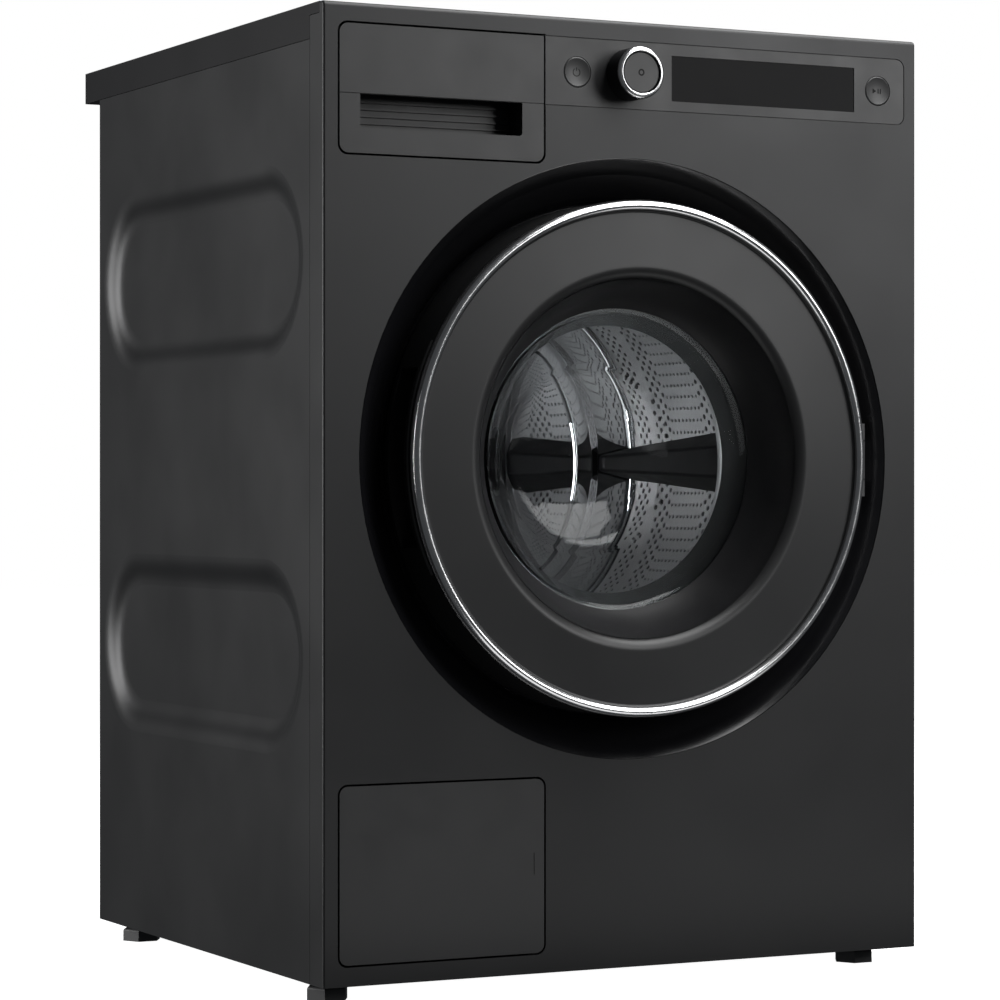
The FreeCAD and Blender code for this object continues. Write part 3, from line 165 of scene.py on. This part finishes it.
def brushed(name, colour, roughness, stretch, bump=0.08, metallic=1.0):
    """Steel with fine lines along one direction."""
    material = new_material(name, colour, roughness, Metallic=metallic)
    lines = object_noise(material, 60.0, stretch, 4.0)
    vary(material, "Base Color", lines, tint(colour, 0.9), tint(colour, 1.06))
    vary(material, "Roughness", lines, roughness - 0.05, roughness + 0.08)
    roughen(material, lines, bump)
    return material


def chrome():
    """Satin chrome of the trim rings."""
    material = new_material("bright_trim", (0.86, 0.86, 0.87), 0.2, Metallic=1.0)
    vary(material, "Roughness", object_noise(material, 80.0), 0.17, 0.23)
    roughen(material, object_noise(material, 25.0), 0.02)
    return material


def mirror_steel():
    """Polished steel of the drum's back, with faint changes of gloss."""
    material = new_material("drum_mirror", (0.55, 0.55, 0.56), 0.03, Metallic=1.0)
    vary(material, "Roughness", object_noise(material, 30.0), 0.015, 0.045)
    vary(material, "Base Color", object_noise(material, 12.0), (0.52, 0.52, 0.53), (0.58, 0.58, 0.59))
    return material


def glass():
    """Slightly tinted clear glass of the door."""
    material = new_material("door_glass", (0.80, 0.83, 0.84), 0.0, IOR=1.25, Transmission_Weight=1.0)
    vary(material, "Roughness", object_noise(material, 40.0), 0.0, 0.015)
    return material


def cast(name, colour, roughness, metallic=1.0):
    """Coarse-grained casting or plated metal."""
    material = new_material(name, colour, roughness, Metallic=metallic)
    grain = object_noise(material, 220.0, detail=6.0)
    vary(material, "Base Color", grain, tint(colour, 0.75), tint(colour, 1.15))
    roughen(material, grain, 0.5, 0.0006)
    return material


GRAPHITE = (0.022, 0.0222, 0.023)
LOOKS = {
    "cabinet_paint": painted("cabinet_paint", GRAPHITE, 0.40, metallic=0.35),
    "worktop_board": painted("worktop_board", (0.006, 0.006, 0.007), 0.5, Specular_IOR_Level=0.2),
    "rear_steel": brushed("rear_steel", (0.46, 0.47, 0.48), 0.42, (40, 1, 1)),
    "zinc_screws": cast("zinc_screws", (0.62, 0.61, 0.56), 0.3),
    "base_steel": painted("base_steel", (0.05, 0.05, 0.052), 0.5),
    "recess_plastic": moulded("recess_plastic", (0.006, 0.006, 0.007), 0.2, bump=0.03),
    "fascia_plastic": moulded("fascia_plastic", (0.021, 0.0212, 0.022), 0.42),
    "button_plastic": moulded("button_plastic", (0.04, 0.0403, 0.041), 0.45),
    "knob_plastic": moulded("knob_plastic", (0.01, 0.01, 0.011), 0.5, Specular_IOR_Level=0.15),
    "bright_trim": chrome(),
    "screen_glass": moulded(
        "screen_glass", (0.003, 0.003, 0.0035), 0.12, bump=0.0, Specular_IOR_Level=0.04
    ),
    "door_plastic": painted("door_plastic", (0.019, 0.0193, 0.02), 0.38, metallic=0.2),
    "funnel_plastic": moulded("funnel_plastic", (0.010, 0.010, 0.011), 0.4, bump=0.05),
    "door_glass": glass(),
    "seal_rubber": moulded("seal_rubber", (0.018, 0.018, 0.019), 0.65, grain=900, bump=0.3),
    "belt_rubber": moulded("belt_rubber", (0.015, 0.015, 0.015), 0.7),
    "dispenser_plastic": moulded("dispenser_plastic", (0.42, 0.43, 0.45), 0.4),
    "service_plastic": moulded("service_plastic", (0.07, 0.07, 0.073), 0.45),
    "drum_steel": brushed("drum_steel", (0.58, 0.58, 0.59), 0.42, (1, 14, 1), bump=0.03, metallic=0.6),
    "drum_mirror": mirror_steel(),
    "seam_line": moulded("seam_line", (0.02, 0.02, 0.02), 0.6),
    "printed_mark": moulded("printed_mark", (0.004, 0.004, 0.004), 0.6, Specular_IOR_Level=0.2),
    "lifter_plastic": moulded("lifter_plastic", (0.006, 0.006, 0.007), 0.5, Specular_IOR_Level=0.2),
    "cast_parts": cast("cast_parts", (0.5, 0.5, 0.52), 0.45),
    "bearing_steel": brushed("bearing_steel", (0.6, 0.6, 0.6), 0.2, (1, 20, 1)),
    "spring_steel": brushed("spring_steel", (0.22, 0.22, 0.23), 0.35, (1, 1, 20)),
    "tub_plastic": moulded("tub_plastic", (0.1, 0.1, 0.1), 0.5),
    "weight_casting": cast("weight_casting", (0.25, 0.24, 0.23), 0.75, metallic=0.2),
    "motor_metal": painted("motor_metal", (0.2, 0.2, 0.21), 0.45, metallic=0.6),
    "foot_plastic": moulded("foot_plastic", (0.07, 0.07, 0.072), 0.5),
}


def dress_frame():
    """Gives every CAD node the look of its material slot."""
    slots = {part["node"]: part["material_slot"] for part in frame["record"]["subparts"]}
    for name, node in NODES.items():
        look = LOOKS[slots[name]]
        for material_slot in node.material_slots:
            material_slot.material = look
        if not node.material_slots:
            node.data.materials.append(look)


dress_frame()


# ---- mesh helpers -----------------------------------------------------------------------------------
def loose_piece(name, mesh, look):
    """Puts a mesh into the scene with a look."""
    piece = bpy.data.objects.new(name, mesh)
    bpy.context.collection.objects.link(piece)
    mesh.materials.append(LOOKS[look])
    return piece


def new_piece(name, mesh, body, look, replaces=()):
    """Puts a mesh into the scene as a piece that rides on a body."""
    piece = loose_piece(name, mesh, look)
    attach(piece, body)
    if replaces:
        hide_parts(*replaces)
    return piece


def mesh_of(name, verts, faces, smooth_angle=35, weld=False):
    """Mesh from millimetre points (x, depth, z above the axis), smooth below an angle."""
    mesh = bpy.data.meshes.new(name)
    points = [(x * MM, FRONT_Y + d * MM, AXIS_Z + z * MM) for x, d, z in verts]
    mesh.from_pydata(points, [], faces)
    shape = bmesh.new()
    shape.from_mesh(mesh)
    if weld:
        bmesh.ops.remove_doubles(shape, verts=shape.verts, dist=0.01 * MM)
    bmesh.ops.recalc_face_normals(shape, faces=shape.faces)
    for face in shape.faces:
        face.smooth = True
    limit = math.radians(smooth_angle)
    for edge in shape.edges:
        if len(edge.link_faces) != 2 or edge.calc_face_angle(0) > limit:
            edge.smooth = False
    shape.to_mesh(mesh)
    shape.free()
    return mesh


def arc(start, via, end, steps=8):
    """Points after start along the arc through via to end."""
    (ax, ay), (bx, by), (cx, cy) = start, via, end
    d = 2 * (ax * (by - cy) + bx * (cy - ay) + cx * (ay - by))
    sa, sb, sc = ax * ax + ay * ay, bx * bx + by * by, cx * cx + cy * cy
    ox = (sa * (by - cy) + sb * (cy - ay) + sc * (ay - by)) / d
    oy = (sa * (cx - bx) + sb * (ax - cx) + sc * (bx - ax)) / d
    radius = math.hypot(ax - ox, ay - oy)
    first, mid, last = (math.atan2(y - oy, x - ox) for x, y in (start, via, end))
    sweep = (last - first) % math.tau
    if (mid - first) % math.tau > sweep:
        sweep -= math.tau
    turns = [first + sweep * i / steps for i in range(1, steps + 1)]
    return [(ox + radius * math.cos(t), oy + radius * math.sin(t)) for t in turns]


def profile(points):
    """Flattens an outline in which a point given as (via, end) is reached by an arc."""
    flat = [points[0]]
    for point in points[1:]:
        if isinstance(point[0], tuple):
            flat += arc(flat[-1], point[0], point[1])
        else:
            flat.append(point)
    return flat


def lathe(name, points, segments=256, x=0.0, upright=None, weld=False):
    """Turns a (radius, depth) outline about the drum's axis, or a (radius, z) outline about an upright
    line at the depth given as upright. A welded outline may start and end on its axis."""
    line = profile(points)
    verts, faces = [], []
    for i in range(segments):
        c, s = math.cos(math.tau * i / segments), math.sin(math.tau * i / segments)
        if upright is None:
            verts += [(x + r * c, d, r * s) for r, d in line]
        else:
            verts += [(x + r * c, upright + r * s, h) for r, h in line]
    count = len(line)
    for i in range(segments):
        here, after = i * count, (i + 1) % segments * count
        for j in range(count):
            k = (j + 1) % count
            faces.append((here + j, here + k, after + k, after + j))
    return mesh_of(name, verts, faces, weld=weld)


def turned_piece(name, outline, segments, body, look, replaces=(), weld=False):
    """A piece turned about the drum's axis."""
    return new_piece(name, lathe(name, outline, segments, weld=weld), body, look, replaces)


# ---- drum -------------------------------------------------------------------------------------------
DRUM_R = 239.0
COLUMNS = 120  # holes round the drum
ROW = 7.5  # distance from one row of holes to the next
HOLES_FRONT, HOLES_BACK = 150.0, 412.5
MIDDLE_BAND = 220, 272  # depths of the staggered large holes in the middle
BACK_BAND = 338  # depth from which they are large again
PLAIN_BAND = 366, 384  # depths without holes
CORNERS = 8  # of a hole
LARGE, SMALL = 2.8, 1.8  # radii of the holes
SKIN = 1.2  # thickness of the drum's sheet
WALL_FRONT, WALL_BACK = 128.0, 420.0


def hole_at(depth, row):
    """Radius of a row's holes and its sideways shift, as a share of a column."""
    if PLAIN_BAND[0] < depth < PLAIN_BAND[1]:
        return 0.0, 0.0
    if depth > BACK_BAND or MIDDLE_BAND[0] < depth < MIDDLE_BAND[1]:
        return LARGE, 0.25 if row % 2 else -0.25
    return SMALL, 0.0


def band(near, far):
    """Faces between two loops of corners."""
    turned = [(i + 1) % CORNERS for i in range(CORNERS)]
    return [(near[i], near[k], far[k], far[i]) for i, k in enumerate(turned)]


def perforated_wall():
    """Drum's side wall of two skins, with a real hole in each cell and a plain band at both ends."""
    step, skins = math.tau / COLUMNS, (DRUM_R - SKIN, DRUM_R)
    verts, faces = [], []

    def put(turn, depth, reach):
        verts.append((reach * math.cos(turn), depth, reach * math.sin(turn)))
        return len(verts) - 1

    rows = round((HOLES_BACK - HOLES_FRONT) / ROW)
    border = [(-1, -1), (0, -1), (1, -1), (1, 0), (1, 1), (0, 1), (-1, 1), (-1, 0)]
    for row in range(rows):
        depth = HOLES_FRONT + (row + 0.5) * ROW
        radius, shift = hole_at(depth, row)
        for column in range(COLUMNS):
            turn = (column + 0.5) * step
            holes = []
            for reach in skins:
                rim = [put(turn + i * step / 2, depth + j * ROW / 2, reach) for i, j in border]
                if not radius:
                    faces.append(rim)
                    continue
                hole = []
                for i in range(CORNERS):
                    a = math.radians(225 + 45 * i)
                    sideways = shift * step + radius / DRUM_R * math.cos(a)
                    hole.append(put(turn + sideways, depth + radius * math.sin(a), reach))
                faces += band(rim, hole)
                holes.append(hole)
            if radius:
                faces += band(*holes)
    for low, high, end in ((WALL_FRONT, HOLES_FRONT, WALL_FRONT), (HOLES_BACK, WALL_BACK, WALL_BACK)):
        for i in range(2 * COLUMNS):
            a, b = i * step / 2, (i + 1) * step / 2
            for reach in skins:
                corners = (a, low), (b, low), (b, high), (a, high)
                faces.append([put(turn, depth, reach) for turn, depth in corners])
            edge = (a, skins[0]), (b, skins[0]), (b, skins[1]), (a, skins[1])
            faces.append([put(turn, end, reach) for turn, reach in edge])
    return mesh_of("drum_wall", verts, faces, weld=True)


new_piece("drum_wall", perforated_wall(), "drum", "drum_steel", ["drum_shell"])
turned_piece(
    "drum_front_wall",
    [
        (150, 104),
        ((151.8, 94), (160, 91)),
        ((166, 92.5), (171, 98)),
        (231, 98),
        ((236.7, 100.3), (DRUM_R, 106)),
        (DRUM_R, WALL_FRONT),
        (DRUM_R - SKIN, WALL_FRONT),
        (DRUM_R - SKIN, 106),
        ((235.8, 101.2), (231, 99.2)),
        (171.5, 99.2),
        ((166.4, 93.8), (160, 92.2)),
        ((153, 94.8), (151.2, 104)),
    ],
    2 * COLUMNS,
    "drum",
    "drum_steel",
)
turned_piece(
    "drum_back_wall",
    [
        (DRUM_R - SKIN, WALL_BACK),
        ((235.4, 424.4), (230, 426.8)),
        (199, 426.8),
        ((197.8, 426.8), (196.8, 425.9)),
        (187, 419.6),
        ((186, 419), (184.8, 419)),
        (171.2, 419),
        ((169.8, 419), (168.8, 420)),
        ((167.8, 421.6), (166, 422)),
        (30, 422),
        (30, 423.2),
        (165.5, 423.2),
        (169.5, 420.2),
        (185.6, 420.2),
        (197.6, 428),
        (230, 428),
        ((236.3, 425.3), (DRUM_R, WALL_BACK)),
    ],
    2 * COLUMNS,
    "drum",
    "drum_mirror",
    ["drum_back"],
)


# ---- door -------------------------------------------------------------------------------------------
RING_R, FUNNEL_R, GLASS_R = 226.4, 157.5, 133.6
DOOR_SEGMENTS = 384
POINT = 0.001  # radius that the weld closes to a point
turned_piece(
    "door_trim_ring",
    [
        (217.4, -20),
        (217.4, -25.4),
        ((221.4, -28), (225.4, -24.8)),
        (RING_R, -22),
        (RING_R, -20),
    ],
    DOOR_SEGMENTS,
    "door",
    "bright_trim",
    ["door_ring"],
)
turned_piece(
    "door_face_ring",
    [
        (217, -20),
        (217, -22.6),
        ((216.2, -21.9), (214.5, -21.6)),
        (170, -20.6),
        ((162.2, -19.2), (FUNNEL_R + 0.4, -14.8)),
        (FUNNEL_R + 0.4, -12.2),
        (164, -15.6),
        (172, -16.4),
        (207, -16.4),
        (207, -20),
    ],
    DOOR_SEGMENTS,
    "door",
    "door_plastic",
    ["door_face"],
)
turned_piece(
    "door_funnel_wall",
    [
        (FUNNEL_R, -14.8),
        ((149.5, 4), (GLASS_R, 25.5)),
        (GLASS_R, 26.8),
        (150, 26.8),
        (150, 24.3),
        (139, 24.3),
        ((152.6, 4), (FUNNEL_R + 2.6, -10)),
        (FUNNEL_R + 2.6, -10.6),
        (FUNNEL_R + 0.4, -12.2),
    ],
    DOOR_SEGMENTS,
    "door",
    "funnel_plastic",
    ["door_funnel"],
)
turned_piece(
    "door_glass_bowl",
    [
        (148, 26.8),
        (GLASS_R, 26.8),
        ((129.6, 28.5), (126.6, 33)),
        (86, 84),
        ((76, 93), (62, 97)),
        ((31, 99.4), (POINT, 100)),
        (POINT, 104),
        ((31, 103.4), (62.5, 101)),
        ((78.4, 96.4), (89, 87)),
        (129.6, 35.6),
        ((132.6, 32), (136.6, 30.8)),
        (148, 30.8),
    ],
    320,
    "door",
    "door_glass",
    ["door_glass"],
    weld=True,
)


def join(piece, nodes):
    """A piece that lies between the cabinet and the tub: bakes its place into its mesh and hides the
    nodes it replaces.
    """
    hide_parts(*nodes)
    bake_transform(piece)


BELLOWS = [
    (176, 40.6),
    (176, 46),
    ((178.6, 55), (176, 64)),
    (171, 67),
    (171, 84),
    (160, 84),
    (160, 79),
    (167.5, 77),
    (167.5, 65),
    (172.6, 61.5),
    ((175, 55), (172.6, 48.6)),
    (168, 47.6),
    ((145, 46.9), (121.5, 50)),
    (120.9, 48),
    ((145, 44.4), (167.8, 44.6)),
    (166, 40.6),
]
bellows = loose_piece("door_bellows", lathe("door_bellows", BELLOWS), "seal_rubber")
join(bellows, ["door_seal"])

HOSE_X, HOSE_DEPTH = -60.0, 104.0


def ribbed_hose():
    """Short upright hose with round ribs, between the tub's sump and the pump."""
    low, high, ribs = 118.0 - AXIS_UP, 192.0 - AXIS_UP, 6
    pitch = (high - low) / ribs
    points = [(16.4, low), (16.4, high), (18.4, high)]
    for i in range(ribs):
        top = high - i * pitch
        points.append(((22.0, top - pitch / 2), (18.4, top - pitch)))
    return lathe("tub_hose", points, 64, x=HOSE_X, upright=HOSE_DEPTH)


hose = loose_piece("tub_hose", ribbed_hose(), "seal_rubber")
join(hose, ["sump_hose"])

LEG_X, LEG_DEPTHS, SPRING_LOW, SPRING_HIGH = 228.0, (192.0, 400.0), 49.2, 256.8


def coil_springs():
    """Four coil springs whose end turns lie close together."""
    verts, faces = [], []
    wire_r, radius, turns, steps, sides = 2.8, 21.5, 8.5, 340, 12
    end_share, end_rise = 0.08, 0.06  # of the wire in each end, and of the height spent evenly
    for x, depth in ((sx * LEG_X, d) for sx in (-1, 1) for d in LEG_DEPTHS):
        first = len(verts)
        for i in range(steps + 1):
            t = i / steps
            turn = math.tau * turns * t
            eased = min(1.0, max(0.0, (t - end_share) / (1 - 2 * end_share)))
            climb = end_rise * t + (1 - end_rise) * eased
            up = SPRING_LOW - AXIS_UP + (SPRING_HIGH - SPRING_LOW) * climb
            for j in range(sides):
                a = math.tau * j / sides
                r = radius + wire_r * math.cos(a)
                z = up + wire_r * math.sin(a)
                verts.append((x + r * math.cos(turn), depth + r * math.sin(turn), z))
        for i in range(steps):
            for j in range(sides):
                a, b = first + i * sides, first + (i + 1) * sides
                k = (j + 1) % sides
                faces.append((a + j, a + k, b + k, b + j))
        last = first + steps * sides
        faces.append(tuple(range(first, first + sides)))
        faces.append(tuple(range(last, last + sides)))
    return mesh_of("coil_springs", verts, faces, 50)


springs = loose_piece("coil_springs", coil_springs(), "spring_steel")
join(
    springs,
    ["leg_springs"],
)


# ---- marks on the controls --------------------------------------------------------------------------
BUTTON_UP = 802.5 - AXIS_UP
BUTTON_R = 13.2
BUTTON_RIM = 1.0  # width of the flat rim round a button's hollow
HOLLOW_DEPTH, HOLLOW = 1.6, 1.9  # depth of the hollow's middle, and how far it lies behind the rim
POWER_X, KNOB_X, START_X = -55.0, -4.0, 256.5


def on_button(x, z):
    """Depth of a mark just proud of a button's hollowed face."""
    share = min(1.0, math.hypot(x, z) / (BUTTON_R - BUTTON_RIM))
    return HOLLOW_DEPTH - HOLLOW * share * share - 0.12


def strip(points, width, depth_at, closed=False):
    """Flat band of a width along points (x, z)."""
    count = len(points)
    verts, faces = [], []
    for i, (x, z) in enumerate(points):
        before = points[i - 1] if i or closed else points[i]
        after = points[(i + 1) % count] if i + 1 < count or closed else points[i]
        dx, dz = after[0] - before[0], after[1] - before[1]
        size = math.hypot(dx, dz)
        nx, nz = -dz / size * width / 2, dx / size * width / 2
        verts += [(x + nx, depth_at(x, z), z + nz), (x - nx, depth_at(x, z), z - nz)]
    for i in range(count if closed else count - 1):
        a, b = 2 * i, 2 * ((i + 1) % count)
        faces.append((a, a + 1, b + 1, b))
    return verts, faces


def merged(parts):
    """One list of points and faces out of several."""
    verts, faces = [], []
    for more, links in parts:
        start = len(verts)
        verts += more
        faces += [tuple(start + i for i in link) for link in links]
    return verts, faces


def thickened(mesh, thickness):
    """Turns a sheet into a thin solid."""
    shape = bmesh.new()
    shape.from_mesh(mesh)
    bmesh.ops.solidify(shape, geom=shape.faces[:], thickness=thickness * MM)
    bmesh.ops.recalc_face_normals(shape, faces=shape.faces)
    shape.to_mesh(mesh)
    shape.free()
    return mesh


def mark(name, parts, x, z, body, look="printed_mark"):
    """Thin solid mark on a face, at a place across and above the drum's axis."""
    verts, faces = merged(parts)
    verts = [(vx + x, d, vz + z) for vx, d, vz in verts]
    new_piece(name, thickened(mesh_of(name, verts, faces, weld=True), 0.06), body, look)


def arc_line(radius, low, high, steps=32):
    """Points (x, z) along an arc between two angles."""
    turns = [math.radians(low + (high - low) * i / steps) for i in range(steps + 1)]
    return [(radius * math.cos(t), radius * math.sin(t)) for t in turns]


POWER_LINE, PAUSE_BAR = 0.7, 1.0  # widths
mark(
    "power_mark",
    [
        strip(arc_line(3.4, 125, 415), POWER_LINE, on_button),
        strip([(0, 1.2), (0, 2.4), (0, 4.2)], POWER_LINE, on_button),
    ],
    POWER_X,
    BUTTON_UP,
    "power_button",
)
TRIANGLE = [(-4.4, 2.3), (-4.4, -2.3), (-0.6, 0)]
mark(
    "start_mark",
    [
        ([(x, on_button(x, z), z) for x, z in TRIANGLE], [(0, 1, 2)]),
        *(strip([(x, -2.2), (x, 0), (x, 2.2)], PAUSE_BAR, on_button) for x in (1.6, 4.0)),
    ],
    START_X,
    BUTTON_UP,
    "start_button",
)
CAP_FACE = -23.4 - 0.08  # depth of a mark just proud of the knob's cap
CREST_R, CREST_DEPTH = 221.4, -28.06  # the crest of the door's trim ring, with a hair's clearance


def ring_depth(x, z):
    """Just proud of the door's trim ring, which falls off on both sides of its crest."""
    across = (math.hypot(x, z) - CREST_R) / 4.0
    return CREST_DEPTH + 2.6 * across * across


SEAM = [(4.0, -217.8 - i) for i in range(9)]  # from the ring's inner to its outer edge, at the bottom
mark("trim_seam", [strip(SEAM, 0.5, ring_depth)], 0.0, 0.0, "door", "seam_line")
mark(
    "knob_mark",
    [strip(arc_line(2.4, 0, 360)[:-1], 1.2, lambda x, z: CAP_FACE, closed=True)],
    KNOB_X,
    BUTTON_UP,
    "knob_cap",
)


# ---- studio -----------------------------------------------------------------------------------------
def studio_floor():
    """Plain floor as pale as the background, which neither lights nor mirrors in the object."""
    mesh = bpy.data.meshes.new("studio_floor")
    half = 12.0  # metres
    corners = [(-half, -half, 0), (half, -half, 0), (half, half, 0), (-half, half, 0)]
    mesh.from_pydata(corners, [], [(0, 1, 2, 3)])
    floor = bpy.data.objects.new("studio_floor", mesh)
    bpy.context.collection.objects.link(floor)
    glow = {"Emission_Color": (1, 1, 1, 1), "Emission_Strength": 1.0}
    mesh.materials.append(new_material("studio_floor", (0.9, 0.9, 0.9), 0.9, **glow))
    floor.visible_diffuse = False
    floor.visible_glossy = False


WORLD_LIGHT = 0.05


def studio_world():
    """White behind the object, and a dim even light on it."""
    world = bpy.data.worlds.new("studio")
    bpy.context.scene.world = world
    world.use_nodes = True
    tree = world.node_tree
    seen, lit = tree.nodes["Background"], tree.nodes.new("ShaderNodeBackground")
    seen.inputs["Color"].default_value = (1, 1, 1, 1)
    seen.inputs["Strength"].default_value = 1.0
    lit.inputs["Color"].default_value = (0.9, 0.95, 1.0, 1)
    lit.inputs["Strength"].default_value = WORLD_LIGHT
    path, mix = tree.nodes.new("ShaderNodeLightPath"), tree.nodes.new("ShaderNodeMixShader")
    tree.links.new(path.outputs["Is Camera Ray"], mix.inputs["Fac"])
    tree.links.new(lit.outputs["Background"], mix.inputs[1])
    tree.links.new(seen.outputs["Background"], mix.inputs[2])
    tree.links.new(mix.outputs["Shader"], tree.nodes["World Output"].inputs["Surface"])


def softbox(name, place_at, aim, width, height, power, spread=180):
    """Rectangular lamp at a place, turned to a point, that shines within an angle."""
    lamp = bpy.data.lights.new(name, "AREA")
    lamp.shape = "RECTANGLE"
    lamp.size, lamp.size_y = width, height
    lamp.energy = power
    lamp.spread = math.radians(spread)
    box = bpy.data.objects.new(name, lamp)
    bpy.context.collection.objects.link(box)
    box.location = place_at
    box.rotation_euler = (Vector(aim) - Vector(place_at)).to_track_quat("-Z", "Y").to_euler()
    box.visible_camera = False


studio_floor()
studio_world()
softbox("top_box", (1.2, -1.2, 2.6), (1.2, -1.2, 0.0), 1.9, 2.8, 115)
softbox("right_box", (2.0, -3.0, 1.6), (0.05, -0.25, 0.6), 1.5, 1.6, 40)
softbox("left_box", (-2.6, 1.1, 0.8), (-0.3, 0.05, 0.45), 1.2, 1.6, 60)
softbox("low_box", (0.15, -0.62, 0.01), (0.15, -0.62, 1.0), 0.9, 0.35, 0.9)
softbox("drum_lamp", (-0.12, -0.14, 0.465), (0.24, 0.02, 0.465), 0.04, 0.14, 0.13, spread=100)


def photo_camera():
    """Level camera to the left of the front, fitted to the cabinet's corners."""
    lens = bpy.data.cameras.new("photo_camera")
    lens.sensor_width = 36
    lens.lens = 123.65
    lens.shift_y = -0.0063
    lens.clip_end = 60
    camera = bpy.data.objects.new("photo_camera", lens)
    bpy.context.collection.objects.link(camera)
    camera.location = (-1.4759, -2.9170, 0.4344)
    camera.rotation_euler = (math.radians(90), 0, math.radians(-26.991))
    bpy.context.scene.camera = camera


photo_camera()
bpy.context.scene.view_settings.view_transform = "Standard"
